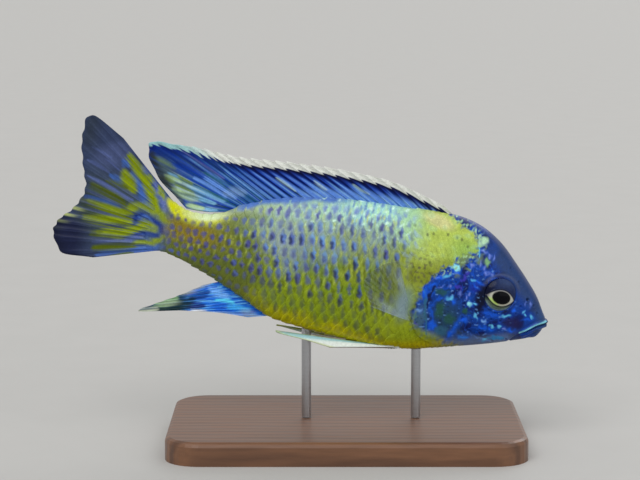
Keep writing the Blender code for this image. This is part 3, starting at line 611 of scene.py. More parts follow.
def flank_ground(s, h, side):
    """The colour between the spots, from the nape to the tail root."""
    below_back = back(s) - h
    above_belly = h - belly(s)
    patchy = ripple(s, h, 5.0, 11 + side)
    tone = plain(FLANK_LIME, s)
    paint(tone, UPPER_GREEN, ramp(below_back + patchy, 11.0, 5.0))
    paint(tone, LOWER_GREEN, ramp(h + 0.8 * patchy, 3.0, -4.0))
    paint(tone, REAR_OLIVE, 0.8 * ramp(s + 2 * patchy, 68.0, 80.0) * ramp(below_back, 1.5, 4.0))
    turquoise = np.maximum(bell(s, 50.0, 15.0), 0.4 * bell(s, 68.0, 9.0))
    turquoise = turquoise * ramp(below_back + patchy, 9.5, 3.0)
    paint(tone, UPPER_TURQUOISE, turquoise)
    fine = ripple(s, 0.45 * h, 0.8, 13 + side)
    paint(tone, UPPER_MINT, turquoise * ramp(fine, 0.2, 0.7))
    paint(tone, GLINT_LIME, turquoise * ramp(fine, -0.3, -0.9) * ramp(below_back, 1.0, 4.0) * 0.9)
    paint(tone, BACK_BLUE, turquoise * ramp(ripple(s, 0.4 * h, 0.7, 16 + side), 0.35, 1.0) * 0.8)
    gold = ramp(above_belly + 0.7 * patchy, 6.0, 1.5) * (0.3 + 0.7 * ramp(s, 78.0, 62.0))
    paint(tone, BELLY_GOLD, gold * ramp(s, 90.0, 80.0))
    chest = bell(s, 38.0, 8.0) * ramp(h, -5.0, -8.0) * ramp(above_belly, 1.0, 4.0)
    paint(tone, CHEST_LIME, chest)
    moss = bell(s, 53.0, 10.0) * bell(h, 0.0, 5.0) * ramp(patchy, -0.4, 0.6)
    paint(tone, FLANK_MOSS, 0.7 * moss)
    paint(tone, STALK_OLIVE, ramp(s + patchy, 80.0, 90.0))
    paint(tone, STALK_OCHRE, 0.85 * ramp(s + patchy, 82.0, 92.0) * bell(h, 0.6, 3.2))
    mottled = ripple(s, 0.6 * h, 0.75, 18 + side)
    below = ramp(below_back, 3.0, 8.0) * ramp(s, 38.0, 44.0)
    paint(tone, DEEP_OLIVE, below * ramp(mottled, 0.1, 1.1) * (0.6 - 0.3 * ramp(h, -5.0, -10.0)))
    paint(tone, GLINT_LIME, below * ramp(mottled, -0.7, -1.3) * 0.4 * ramp(h, -9.0, -3.0))
    # The grey-blue over the upper flank reaches low down round s 68, where it is a painted sheen
    lowest = 6.0 - 8.0 * bell(s, 68.0, 9.0)
    haze_and_sheen = ramp(h + patchy, lowest - 3.0, lowest + 3.0) * ramp(s, 41.0, 46.0) * ramp(s, 87.0, 78.0)
    haze_and_sheen = haze_and_sheen * (0.25 + 0.75 * ramp(below_back, 4.0, 8.0))
    paint(tone, UPPER_HAZE_AND_SHEEN, haze_and_sheen * (0.5 + 0.25 * np.clip(mottled, -1, 1)))
    paint(tone, REAR_SHADE, 0.75 * ramp(s + patchy, 70.0, 80.0) * ramp(h + patchy, -1.0, -6.0))
    # Soft patches of the flank; the first of them is a painted sheen
    for at_s, at_h, length, height, colour, strength in FLANK_PATCHES_AND_SHEEN:
        paint(tone, colour, strength * bell(s, at_s, length) * bell(h, at_h, height))
    stalk_top = ramp(s, 86.0, 89.5) * ramp(below_back, 3.6, 1.6)
    paint(tone, STALK_YELLOW, stalk_top)
    paint(tone, STALK_CREAM, bell(s, 91.5, 5.5) * ramp(below_back, 2.2, 1.0))
    paint(tone, TAIL_LOBE_YELLOW, mark(s, h, 100.4, 5.3, 2.6, 1.4, -38))
    along_back = ramp(below_back + 0.4 * patchy, 1.8, 0.5) * ramp(s, 54.0, 62.0) * ramp(s, 88.0, 82.0)
    paint(tone, BACK_BLUE, along_back)
    paint_nape(tone, s, h, patchy)
    return tone


def paint_nape(tone, s, h, patchy):
    """The yellow nape, the minty shoulder and the grey throat."""
    nape = ramp(s + 1.2 * patchy, 41.0, 37.0) * ramp(h, -1.0, 4.0)
    paint(tone, NAPE_YELLOW, nape)
    paint(tone, SHOULDER_MINT, ramp(s, 34.0, 40.0) * ramp(s, 46.0, 41.0) * ramp(h, 8.0, 15.0) * 0.75)
    paint(tone, NAPE_GREEN, ramp(s, 32.0, 25.0) * ramp(h, 18.0, 14.0) * ramp(h, 6.0, 10.0))
    paint(tone, NAPE_ROSE, mark(s, h, 33.5, 19.0, 4.5, 1.8, -8) * 0.8)
    paint(tone, NAPE_OLIVE, nape * ramp(h + patchy, 12.0, 5.0) * 0.9)
    paint(tone, THROAT_GREY, 0.8 * ramp(s, 30.0, 22.0) * ramp(h, -9.0, -12.0))


def nearest_scale(s, arc, side):
    """The nearest spot: offsets from its middle, half sizes, row and column of its scale."""
    row = row_at(s, arc)
    best = np.full(s.shape, 99.0)
    found = [np.zeros(s.shape) for _ in range(6)]
    flat = curve(COLUMN_OF, s)
    for k in (np.floor(row), np.floor(row) + 1):
        half = 0.5 * (k % 2)
        q = np.rint(flat - half)
        du = s - column_s(q + half) - 0.35 * (chance(k, q + side, 3) - 0.5)
        dv = arc - row_arc(k, s) - 0.4 * (chance(k, q + side, 4) - 0.5)
        # Spots lean back high on the flank and forward low on it
        du = du - (0.16 - 0.38 * ramp(arc, 4.5, 9.0)) * dv * ramp(s, 90.0, 70.0)
        size = 0.8 + 0.4 * chance(k, q + side, 5)
        tall = (0.75 + 0.78 * ramp(s, 86.0, 70.0)) * size
        wide = (0.56 + 0.08 * ramp(s, 56.0, 66.0)) * (0.75 + 0.5 * chance(k, q + side, 6))
        away = np.hypot(du / wide, dv / tall)
        closer = away < best
        best = np.where(closer, away, best)
        found = [np.where(closer, a, b) for a, b in zip((du, dv, wide, tall, k, q), found)]
    return found


def paint_spots(tone, s, h, arc, side):
    """A blue spot on each scale, with painted shade at its lower rear and a painted highlight tick ahead
    of it.
    """
    bent_s = s + 0.12 * ripple(s, h, 0.8, 21 + side)
    bent_arc = arc + 0.2 * ripple(s, h, 1.0, 24 + side)
    du, dv, wide, tall, k, q = nearest_scale(bent_s, bent_arc, side)
    pick, other = chance(k, q + side, 7), chance(k, q + side, 8)
    below_back, above_belly = back(s) - h, h - belly(s)
    away = np.hypot(du / wide, dv / tall)
    # shade runs across each spot from its upper front to its lower rear, for painted light and shade
    shade = 0.5 + 0.5 * np.clip((dv + 1.2 * du) / tall, -1, 1)
    zone = ramp(s, 36.5, 43.0) * ramp(s, 104.0, 100.0)
    low_end = 4.5 - 3.2 * ramp(s, 66.0, 84.0)
    strength = zone * ramp(above_belly, 0.3, low_end) * (0.6 + 0.4 * other) * ramp(below_back, 0.6, 2.4)
    strength = strength * np.where(k == 3, 0.85, 1.0) * (1.0 - 0.5 * ramp(h, -5.0, -10.0))
    # Painted highlights: light ticks between the spots, and pale glints high on the flank
    tick = 1.0 - ramp(np.hypot((du + 0.95) / 0.4, dv / 1.1), 0.5, 1.2)
    high = ramp(below_back, 10.0, 6.0) * ramp(s, 72.0, 64.0)
    glint = plain(GLINT_LIME, s)
    pale = ramp(below_back, 11.0, 6.0) * ramp(other, 0.4, 0.8) * ramp(s, 78.0, 68.0)
    paint(glint, PALE_TURQUOISE, pale)
    paint(tone, glint, tick * zone * ramp(h, -4.0, 6.0) * ramp(pick, 0.3, 0.8) * (0.5 - 0.25 * high))
    fleck = ripple(s + 0.3 * h, 0.8 * h, 0.8, 46 + side)
    paint(tone, GLINT_MINT, 0.8 * high * zone * ramp(fleck, 0.75, 1.5))
    # The spots' colour: violet, bluer along the middle of the flank, dull low and at the tail
    lively = bell(s, 57.0, 17.0) * bell(h, 4.5, 6.5)
    dusky = bell(s, 48.0, 12.0) * bell(h, 1.5, 5.0)
    colour = plain(SPOT_VIOLET, s)
    paint(colour, SPOT_BLUE, np.clip(lively * 1.3 + pick - 0.5, 0, 1))
    paint(colour, SPOT_PALE, ramp(below_back, 5.0, 2.0) * ramp(s, 76.0, 60.0) * 0.8)
    # Sky blue on the upper front of the bluer spots is painted light
    paint(colour, SPOT_SKY, np.clip(lively * 1.5 + pick - 0.8, 0, 1) * ramp(shade, 0.8, 0.25))
    paint(colour, SPOT_DARK, dusky * ramp(pick, 0.25, 0.6) * 0.75)
    paint(colour, SPOT_DULL, ramp(h, -3.0, -8.0) * ramp(s, 82.0, 68.0) * 0.9)
    paint(colour, SPOT_PLUM, 0.65 * ramp(s, 88.0, 96.0) * ramp(h, -5.0, -1.0))
    # A painted highlight round the spots on the middle and rear of the flank, on their lower rear side
    halo = (1.0 - ramp(away, 0.9, 2.1)) * ramp(s, 52.0, 60.0) * ramp(s, 86.0, 76.0) * ramp(h, -5.0, 3.0)
    paint(tone, SPOT_HIGHLIGHT, 0.45 * halo * strength * ramp(shade, 0.3, 0.8))
    paint(tone, colour, (1.0 - ramp(away, 0.5, 1.4)) * strength)
    # Painted shade: a dark crescent at the lower rear of each spot
    rear = 1.0 - ramp(np.hypot((du - 0.42) / 0.5, (dv - 0.45) / (0.85 * tall)), 0.45, 1.25)
    dark = rear * strength * ramp(below_back, 3.5, 8.0) * ramp(s, 98.0, 88.0)
    paint(tone, SPOT_DARK, dark * (0.2 + 0.6 * ramp(other, 0.2, 0.9)))


def head_ground(s, h, side):
    """The blue under the head's marks: royal blue with navy blotches, slate over the brow."""
    ground = plain(HEAD_ROYAL, s)
    paint(ground, HEAD_NAVY, ramp(ripple(s, h, 3.0, 33 + side), -0.1, 0.9))
    worms = np.abs(ripple(s * 1.15, h, 1.5, 34 + side) + 0.25 * ripple(s, h, 0.7, 35))
    paint(ground, HEAD_ELECTRIC, 0.45 * ramp(worms, 0.35, 0.02) * ramp(s, 7.0, 16.0))
    paint_marks(ground, s, h, HEAD_SHADES)
    # above_eye rises from the cheek to the brow, across the line through snout and eye
    above_eye = h - 0.78 * s
    specks = ripple(s + 0.5 * h, 1.5 * h, 0.72, 37 + side)
    clusters = ramp(ripple(s, h, 2.2, 42 + side), -0.4, 0.5)
    cheek = ramp(s, 7.0, 12.0) * ramp(above_eye, 0.0, -3.0)
    paint(ground, NAVY_BLACK, 0.55 * cheek * ramp(specks, -0.8, -1.4))
    paint(ground, SPOT_SKY, 0.75 * cheek * clusters * ramp(specks, 0.8, 1.7))
    brow = np.minimum(ramp(above_eye, -3.4, 0.2), ramp(s, 22.5, 17.0))
    paint(ground, HEAD_SLATE, 0.9 * brow)
    paint(ground, HEAD_ROYAL, 0.4 * mark(s, h, 18.2, 15.4, 1.6, 2.4, 30))
    paint(ground, RIDGE_GREY, 0.55 * ramp(back(s) - h, 1.8, 0.3) * ramp(s, 2.0, 5.0))
    around_eye = np.hypot(s - EYE_AT[0], h - EYE_AT[1])
    paint(ground, LID_GREY, 0.75 * bell(around_eye, 5.1, 0.35) * ramp(h, 5.0, 8.0))
    paint(ground, SNOUT_BLUE, 0.7 * ramp(s, 4.5, 1.0))
    paint(ground, CHIN_BLUE, 0.85 * ramp(h - belly(s), 4.4, 1.2) * ramp(s, 5.0, 11.0))
    paint(ground, GULLET_GREEN, 0.9 * mark(s, h, 31.0, -10.4, 5.6, 1.8, 0))
    return ground


def paint_head(tone, s, h, side):
    """The blue of the head with its bright marks."""
    depth = inside(HEAD_EDGE, s, h)
    ragged = 0.4 * ripple(s, h, 0.9, 31) + 0.3 * ripple(s, h, 2.2, 32) + 0.18 * ripple(s, h, 0.45, 30)
    ragged = ragged * (1.0 - 0.35 * ramp(h, 11.0, 14.0))
    soft = 0.55 + 0.8 * ramp(h, 3.0, -2.0)
    ground = head_ground(s, h, side)
    bent_s = s + 0.22 * ripple(s, h, 0.9, 36 + side)
    bent_h = h + 0.22 * ripple(s, h, 0.9, 26 + side)
    # Bright marks get a painted glow round them and a painted highlight in their middle
    for layer, size, layer_strength in MARK_LAYERS:
        for at_s, at_h, length, width, slope, colour, strength in HEAD_MARKS:
            if layer != "colour" and colour[2] <= BRIGHT_BLUE_LIGHT:
                continue
            lighter = np.minimum(colour * 1.4, 1.0)
            shade = {"glow": HEAD_ELECTRIC, "colour": colour, "middle": lighter}[layer]
            oval = mark(bent_s, bent_h, at_s, at_h, size * length, size * width, slope)
            paint(ground, shade, strength * layer_strength * oval)
    for colour, half_width, strength, points in HEAD_BANDS:
        # The thin painted highlight along the lips runs even, and the broad bands are bent and broken
        even = half_width < THIN_BAND
        away, _ = line_distance(smooth_line(points, 4), *((s, h) if even else (bent_s, bent_h)))
        broken = 1.0 - 0.5 * ramp(ripple(s, h, 1.3, 45 + side), 0.2, 0.9) * (not even)
        paint(ground, colour, strength * broken * ramp(away, half_width * 1.5, half_width * 0.4))
    rim_specks = bell(depth, 0.5, 1.2) * ramp(ripple(s, h, 0.55, 38 + side), 0.3, 0.9) * ramp(h, 4.0, 8.0)
    paint(ground, SHOULDER_MINT, rim_specks * 0.8)
    paint(tone, ground, ramp((depth + ragged) / soft, -1.0, 1.0))


def skin_tone(s, share, side):
    """The fish's colour at places on its skin, the same for the skin and for its scales."""
    s, share = np.broadcast_arrays(s, share)
    h = look_up(BODY_H, s, share)
    arc = share * girth(s)
    tone = flank_ground(s, h, side)
    paint_spots(tone, s, h, arc, side)
    for dot_s, dot_h in NAPE_DOTS:
        paint(tone, DOT_OLIVE, 0.6 * mark(s, h, dot_s, dot_h, 0.4, 0.5, 20))
    near_nape = ramp(s, 43.0, 36.0)
    grain = ripple(s, h, 1.7, 27 + side)
    paint(tone, tone * 0.8, 0.6 * near_nape * ramp(grain, 0.0, 1.0))
    paint(tone, SHOULDER_MINT, 0.3 * near_nape * ramp(grain, -0.3, -1.4) * ramp(h, 8.0, 12.0))
    freckles = ripple(s, h, 0.7, 41 + side)
    olive = bell(s, 35.5, 4.0) * bell(h, 6.5, 4.5)
    paint(tone, FRECKLE_BROWN, 0.75 * olive * ramp(freckles, 0.3, 0.8))
    shoulder = bell(s, 40.0, 2.8) * bell(h, 13.0, 4.5)
    paint(tone, SPOT_PALE, 0.7 * shoulder * ramp(ripple(s, h, 1.1, 44 + side), 0.2, 0.9))
    paint(tone, FIN_ROOT_GREY, 0.7 * mark(s, h, 37.4, -3.4, 2.4, 5.0, 0))
    paint_head(tone, s, h, side)
    tail = s > 98.0
    if tail.any():
        at_s, at_h = s[tail], h[tail]
        root = tone[tail]
        strands = 0.3 * ripple(0.4 * at_s, at_h, 0.7, 43)
        paint(root, tail_ground(at_s, at_h, strands), ramp(at_s, 99.0, 104.0))
        tone[tail] = root
    return tone


# Forms raised or sunk in the skin, in millimetres, and the lines (s, h) that they follow
LIP_HEIGHT = 0.42
MOUTH_DEPTH = 0.62
CORNER_FOLD = 0.28
LID_RADIUS = 4.4
LID_HEIGHT = 0.3
SOCKET_DEPTH = 2.2
GILL_HEIGHT = 0.42
GILL_GROOVE = 0.22
CHEEK_GROOVE = 0.24
NOSTRIL_RIM = 0.16
NOSTRIL_DEPTH = 0.6
PORE_DEPTH = 0.26
MOUTH_FOLD = ((6.2, -4.9), (7.4, -6.0), (8.2, -7.6))
GILL_CLOSING = ((16.0, -12.0), (16.0, 6.0))
PREOPERCLE = ((22.4, 6.2), (22.4, 1.0), (21.6, -4.2), (18.6, -7.2), (13.0, -8.0))
PORES = (
    (22.6, 4.0), (22.5, 0.2), (21.9, -3.6), (19.6, -6.6), (16.6, -7.8), (12.6, -8.2), (9.2, -6.9),
    (16.6, -1.6), (14.6, -2.3), (12.2, -2.2), (10.0, -1.2), (8.6, 0.6), (7.8, 2.6), (4.4, 3.4),
    (3.0, 1.6), (9.6, 8.6), (12.6, 11.6), (19.0, 8.6),
)


def relief(s, h):
    """Height of the skin's own forms over the plain body: lips, lids, plates and pores."""
    lift = np.zeros(s.shape)
    # Lips along the mouth's cut, which fade out towards its corner, and the fold behind it
    away, along = line_distance(smooth_line(MOUTH_LINE), s, h)
    fade = ramp(along, 1.0, 0.82)
    above = h > curve(MOUTH_LINE, s)
    lift += fade * (LIP_HEIGHT * bell(away, 0.62, 0.36) * np.where(above, 1.15, 0.95))
    lift -= (0.3 + 0.7 * fade) * MOUTH_DEPTH * bell(away, 0.0, 0.17)
    lift -= fade * 0.12 * bell(away, 1.3, 0.22)
    corner, _ = line_distance(smooth_line(MOUTH_FOLD), s, h)
    lift -= CORNER_FOLD * bell(corner, 0.0, 0.22)
    # The lid round the eye's socket, with a fold over it
    ring = np.hypot(s - EYE_AT[0], h - EYE_AT[1])
    lift += LID_HEIGHT * bell(ring, LID_RADIUS, 0.34)
    lift -= SOCKET_DEPTH * ramp(ring, 4.14, 3.5)
    lift -= 0.1 * bell(ring, 5.35, 0.22) * ramp(h, 4.0, 7.0)
    nostril = np.hypot(s - NOSTRIL_AT[0], h - NOSTRIL_AT[1])
    lift += NOSTRIL_RIM * bell(nostril, 0.62, 0.2) - NOSTRIL_DEPTH * ramp(nostril, 0.5, 0.25)
    # The gill cover's free rear edge, and the bent groove across the cheek
    gill = smooth_line(GILL_REAR)
    depth = inside(np.concatenate([gill, GILL_CLOSING, gill[:1]]), s, h)
    flap = ramp(s, 24.0, 29.0)
    lift += flap * GILL_HEIGHT * ramp(depth, -0.12, 0.12) * ramp(depth, 5.0, 0.6)
    lift -= flap * GILL_GROOVE * ramp(depth, -1.8, -0.15) * ramp(depth, 0.1, -0.12)
    cheek, _ = line_distance(smooth_line(PREOPERCLE), s, h)
    lift -= CHEEK_GROOVE * bell(cheek, 0.0, 0.3)
    for pore_s, pore_h in PORES:
        pore = np.hypot(s - pore_s, h - pore_h)
        lift += 0.06 * bell(pore, 0.55, 0.18) - PORE_DEPTH * ramp(pore, 0.42, 0.15)
    return lift


def turned_outwards(verts, faces, corner_uv):
    """The faces of a closed solid and their corners' UVs, wound so that they face out."""
    volume = 0.0
    for f in faces:
        for n in range(1, f.shape[1] - 1):
            a, b, c = verts[f[:, 0]], verts[f[:, n]], verts[f[:, n + 1]]
            volume += np.einsum("ij,ij->i", a, np.cross(b, c)).sum()
    if volume < 0:
        return [f[:, ::-1] for f in faces], [uv[:, ::-1] for uv in corner_uv]
    return faces, corner_uv


def new_piece(name, verts, faces, corner_uv, tones):
    """A mesh object riding on the part. faces and corner_uv are lists of arrays of one kind."""
    faces, corner_uv = turned_outwards(verts, faces, corner_uv)
    mesh = bpy.data.meshes.new(name)
    mesh.vertices.add(len(verts))
    mesh.vertices.foreach_set("co", np.ascontiguousarray(verts, np.float32).ravel())
    corners = np.concatenate([f.ravel() for f in faces])
    sizes = np.concatenate([np.full(len(f), f.shape[1]) for f in faces])
    mesh.loops.add(len(corners))
    mesh.loops.foreach_set("vertex_index", corners.astype(np.int32))
    mesh.polygons.add(len(sizes))
    starts = np.concatenate([[0], np.cumsum(sizes)[:-1]])
    mesh.polygons.foreach_set("loop_start", starts.astype(np.int32))
    mesh.update(calc_edges=True)
    mesh.validate()
    layer = mesh.uv_layers.new(name="OFBake")
    flat = np.concatenate([uv.reshape(-1, 2) for uv in corner_uv])
    layer.data.foreach_set("uv", np.ascontiguousarray(flat, np.float32).ravel())
    store = mesh.attributes.new("tone", "FLOAT_COLOR", "POINT")
    full = np.concatenate([np.clip(tones, 0, 1), np.ones((len(tones), 1))], 1)
    store.data.foreach_set("color", full.astype(np.float32).ravel())
    mesh.shade_smooth()
    obj = to_scene(name, mesh)
    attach(obj, "root")
    return obj


# The corners of a quad, as steps along the rows and the columns of its grid
CORNERS = ((0, 0), (0, 1), (1, 1), (1, 0))


def quads(rows, cols, wrap=False):
    """Corner numbers of a grid of quads over rows by cols points."""
    i = np.arange(rows - 1)[:, None]
    j = np.arange(cols if wrap else cols - 1)[None]
    return np.stack([(i + a) * cols + (j + b) % cols for a, b in CORNERS], -1).reshape(-1, 4)


def tube(rows, cols):
    """Faces of a tube of rings of points, closed by fans round the two points after the last."""
    around = np.arange(cols)
    after = (around + 1) % cols
    last = (rows - 1) * cols
    first_fan = np.stack([np.full(cols, rows * cols), after, around], 1)
    last_fan = np.stack([np.full(cols, rows * cols + 1), last + around, last + after], 1)
    return quads(rows, cols, wrap=True), first_fan, last_fan


def rim_of(rows, cols):
    """Numbers of the points round the edge of a grid, in order."""
    grid = np.arange(rows * cols).reshape(rows, cols)
    return np.concatenate([grid[0], grid[1:, -1], grid[-1, -2::-1], grid[-2:0:-1, 0]])


# The skin: stations close together on the head, shares even all round
SKIN_FINE_STEP = 0.18
SKIN_FINE_ENDS = 37.0
SKIN_COVERED_STEP = 1.2
SKIN_TAIL_STARTS = 97.0
SKIN_TAIL_STATIONS = 37
SKIN_SHARES = 155
UNDER_SCALES = 0.14
# The round cap of the snout: its length, its height and the turns of its rings
SNOUT_CAP = 0.5
SNOUT_LEVEL = -0.7
CAP_TURNS_DEG = (80.0, 64.0, 48.0, 32.0, 16.0)
# The caps take up this share of the skin's UVs at each end
CAP_SHARE = 0.02


def skin_stations():
    """Close together on the head and the tail root, wide apart under the scales."""
    head = np.arange(0.0, SKIN_FINE_ENDS, SKIN_FINE_STEP)
    covered = np.arange(SKIN_FINE_ENDS, SKIN_TAIL_STARTS, SKIN_COVERED_STEP)
    root = np.linspace(SKIN_TAIL_STARTS, SKIN_LENGTH, SKIN_TAIL_STATIONS)
    return np.concatenate([head, covered, root])


def scaled(s, h):
    """How far the scaly coat covers a place, from 0 on the bare head to 1."""
    return ramp(inside(HEAD_EDGE, s, h), 0.3, -0.5)


def body_skin():
    """One skin over head, trunk and tail stalk, with closed ends at snout and tail."""
    share = np.linspace(0.0, 1.0, SKIN_SHARES + 1)
    round_share = np.concatenate([share, share[-2:0:-1]])
    cols = len(round_share)
    side = np.where(np.arange(cols) <= SKIN_SHARES, 1.0, -1.0)
    s, f = np.meshgrid(skin_stations(), round_share, indexing="ij")
    h = look_up(BODY_H, s, f)
    rings = on_skin(s, f, side, relief(s, h) - UNDER_SCALES * scaled(s, h))
    tone = np.empty((*s.shape, 3))
    for way, _ in SIDES:
        pick = side == way
        tone[:, pick] = skin_tone(s[:, pick], f[:, pick], way)
    level = np.full(cols, SNOUT_LEVEL)
    middle = place(0.0, 0.0, SNOUT_LEVEL)
    caps = [
        place(-SNOUT_CAP * math.sin(turn), 0.0 * level, level) + (rings[0] - middle) * math.cos(turn)
        for turn in np.radians(CAP_TURNS_DEG)
    ]
    grid = np.concatenate([np.stack(caps), rings])
    tones = np.concatenate([np.repeat(tone[:1], len(caps), 0), tone]).reshape(-1, 3)
    rows = len(grid)
    verts = np.concatenate([grid.reshape(-1, 3), [grid[0].mean(0), grid[-1].mean(0)]])
    along = np.linspace(CAP_SHARE, 1 - CAP_SHARE, rows)
    i, j = np.meshgrid(np.arange(rows - 1), np.arange(cols), indexing="ij")
    uv = [np.stack([along[i + a], (j + b) / cols], -1) for a, b in CORNERS]
    uvs = [np.stack(uv, 2).reshape(-1, 4, 2)]
    around = np.arange(cols)
    for edge, tip, order in ((CAP_SHARE, 0.0, (1, 0)), (1 - CAP_SHARE, 1.0, (0, 1))):
        ends = [(tip, 0.5), *((edge, n) for n in order)]
        uvs.append(np.stack([np.stack([0 * around + u, (around + v) / cols], 1) for u, v in ends], 1))
    skin = new_piece("skin", verts, tube(rows, cols), uvs, np.concatenate([tones, tones[[0, -cols]]]))
    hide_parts("head", "lower_jaw", "gill_cover_right", "gill_cover_left", "trunk", "tail_stalk")
    return skin


# One scale, in millimetres from its middle: how far it reaches and how it lifts
SCALE_ROWS = 14
SCALE_COLS = 20
SCALE_RISE = 0.2
SCALE_SUNK = 0.16
SCALE_BOTTOM = 0.42
SCALE_EDGE = 0.07
CORNER_DIP = 0.16
RAY_HEIGHT = 0.012
RAYS_ROUND = 26.0
PORE_HEIGHT = 0.07
# Half breadth against the spacing of the rows, and reach against the pitch of the columns
SCALE_BREADTH = 1.02
SCALE_REAR, REAR_ROUNDING = 0.66, 0.98
SCALE_FRONT, FRONT_ROUNDING = 0.74, 0.25
# Scales of this pitch and more rise in full
FULL_PITCH = 2.2
SCALE_CELL = 0.92
SCALE_SPLIT_S = 56.0
# Where scales grow: small ones on nape and chest, none close to the back and belly lines
SMALL_SCALES_END = 36.8
SMALL_ABOVE, SMALL_BELOW = 7.0, -8.0
SCALE_MARGIN = 0.45
SCALES_END = 105.5
# Fields of whole and of half-size scales: their size, first and last row, first and last column
SCALE_FIELDS = ((1.0, (-1, 15), (-8, 29)), (0.5, (-3, 29), (-14, 3)))
# Pored scales of the side line: row, first and last s
PORED_ROWS = ((3, 34, 80), (6, 64, 999))
# Middle of the underside in a scale's UVs
UNDERSIDE = np.array([0.9, 0.5])


def scale_nodes():
    """The scales of one side: s, distance round from the back, length, height and row."""
    found = []
    for part, rows, columns in SCALE_FIELDS:
        n, q = (a.ravel() for a in np.meshgrid(np.arange(*rows), np.arange(*columns), indexing="ij"))
        k, column_at = n * part, (q + 0.5 * (n % 2)) * part
        s = column_s(column_at)
        arc, whole = row_arc(k, s), girth(s)
        h = look_up(BODY_H, s, arc / whole)
        pitch = (column_s(column_at + 0.5) - column_s(column_at - 0.5)) * part
        spacing = np.minimum(arc - row_arc(k - 1, s), row_arc(k + 1, s) - arc) * part
        small_here = (s < SMALL_SCALES_END) & ((h > SMALL_ABOVE) | (h < SMALL_BELOW))
        kept = (small_here == (part < 1)) & (inside(HEAD_EDGE, s, h) <= -0.25 * part)
        kept &= (arc > SCALE_MARGIN) & (arc < whole - SCALE_MARGIN) & (s <= SCALES_END)
        found.append(np.stack([s, arc, pitch, spacing, k], 1)[kept])
    return np.concatenate(found)


def scale_piece(name, nodes, side):
    """Many overlapping scales as one mesh, each a thin closed plate with its rear edge free."""
    s0, arc0, pitch, spacing, k = nodes.T[:, :, None, None]
    count = len(nodes)
    rows, cols = SCALE_ROWS + 1, SCALE_COLS + 1
    u = np.linspace(-1.0, 1.0, rows)[None, :, None]
    v = np.linspace(-1.0, 1.0, cols)[None, None]
    half = SCALE_BREADTH * spacing
    rear = SCALE_REAR * pitch * (1.0 - REAR_ROUNDING * v**2)
    front = -SCALE_FRONT * pitch * (1.0 - FRONT_ROUNDING * v**2)
    ds = front + (rear - front) * (u + 1) / 2
    s = np.clip(s0 + ds, 0.0, SKIN_LENGTH)
    share = np.clip((arc0 + half * v + 0 * u) / girth(s), 0.001, 0.999)
    # Each scale rises from its sunk front to its free rear edge, with fine rays and bent corners
    size = np.minimum(1.0, (pitch / FULL_PITCH) ** 2)
    slope = (ds / pitch + SCALE_FRONT) / (SCALE_FRONT + SCALE_REAR)
    sunk = SCALE_SUNK * (0.4 + 0.6 * size)
    lift = -sunk + (sunk + SCALE_RISE * size) * slope
    lift = lift - CORNER_DIP * size * np.abs(v) ** 5
    lift = lift - SCALE_EDGE * size * ramp(u, 0.8, 1.0) ** 2
    rays = np.sin(np.arctan2(v * half, ds + pitch) * RAYS_ROUND)
    lift = lift + RAY_HEIGHT * size * rays * ramp(slope, 0.3, 0.6)
    pored = sum((k == row) & (s0 > first) & (s0 < last) for row, first, last in PORED_ROWS)
    pore = PORE_HEIGHT * bell(v * half, 0.0, 0.28) * bell(ds, 0.1, 0.8)
    lift = lift + np.where(pored, pore, 0.0)
    top = on_skin(s, share, side, lift)
    tone = skin_tone(s, share, side)
    # Painted highlights: each scale is painted lighter at its free rear edge and in a band across it
    paint(tone, np.minimum(tone * 1.15, 1.0), (ramp(u, 0.72, 1.0) + 0 * s) * 0.28 * size)
    paint(tone, np.minimum(tone * 1.22, 1.0), bell(u + 0 * s, 0.35, 0.3) * 0.25)
    rim = rim_of(rows, cols)
    edge_s, edge_share = (a.reshape(count, -1)[:, rim] for a in (s, share))
    bottom = on_skin(edge_s, edge_share, side, -SCALE_BOTTOM)
    block = np.concatenate([top.reshape(count, -1, 3), bottom, bottom.mean(1, keepdims=True)], 1)
    tone = tone.reshape(count, -1, 3)
    tones = np.concatenate([tone, tone[:, rim], tone[:, :1]], 1)
    grid = quads(rows, cols)
    ring = rows * cols + np.arange(len(rim))
    after = np.roll(ring, -1)
    wall = np.stack([rim, ring, after, np.roll(rim, -1)], 1)
    fan = np.stack([np.full(len(rim), block.shape[1] - 1), after, ring], 1)
    # Each scale's patch lies at its own place on the unrolled side
    low_s, high_s = s0.min() - 3.0, s0.max() + 3.0
    longest = girth(s0).max() + 1.0
    extent = SCALE_CELL * np.stack([pitch / (high_s - low_s), spacing / longest], -1)
    corner = np.stack([(s0 - low_s) / (high_s - low_s), arc0 / longest], -1) - extent / 2
    i, j = np.divmod(np.arange(rows * cols), cols)
    unit = np.stack([0.04 + 0.70 * i / (rows - 1), 0.06 + 0.88 * j / (cols - 1)], 1)
    from_centre = unit[rim] - unit.mean(0)
    outer = np.concatenate([unit, unit.mean(0) + from_centre * 1.1, [UNDERSIDE]])
    under = np.concatenate([unit, UNDERSIDE + from_centre * (0.22, 0.4), [UNDERSIDE]])
    uv = [
        (corner + extent * table[faces]).reshape(-1, faces.shape[1], 2)
        for faces, table in ((grid, outer), (wall, outer), (fan, under))
    ]
    base = np.arange(count)[:, None, None] * block.shape[1]
    faces = [(base + f).reshape(-1, f.shape[1]) for f in (grid, wall, fan)]
    piece = new_piece(name, block.reshape(-1, 3), faces, uv, tones.reshape(-1, 3))
    return piece


def all_scales():
    """The scaly coat in four pieces."""
    nodes = scale_nodes()
    rear = nodes[:, 0] >= SCALE_SPLIT_S
    return [
        scale_piece(f"scales_{end}_{word}", nodes[pick], side)
        for side, word in SIDES
        for end, pick in (("front", ~rear), ("rear", rear))
    ]


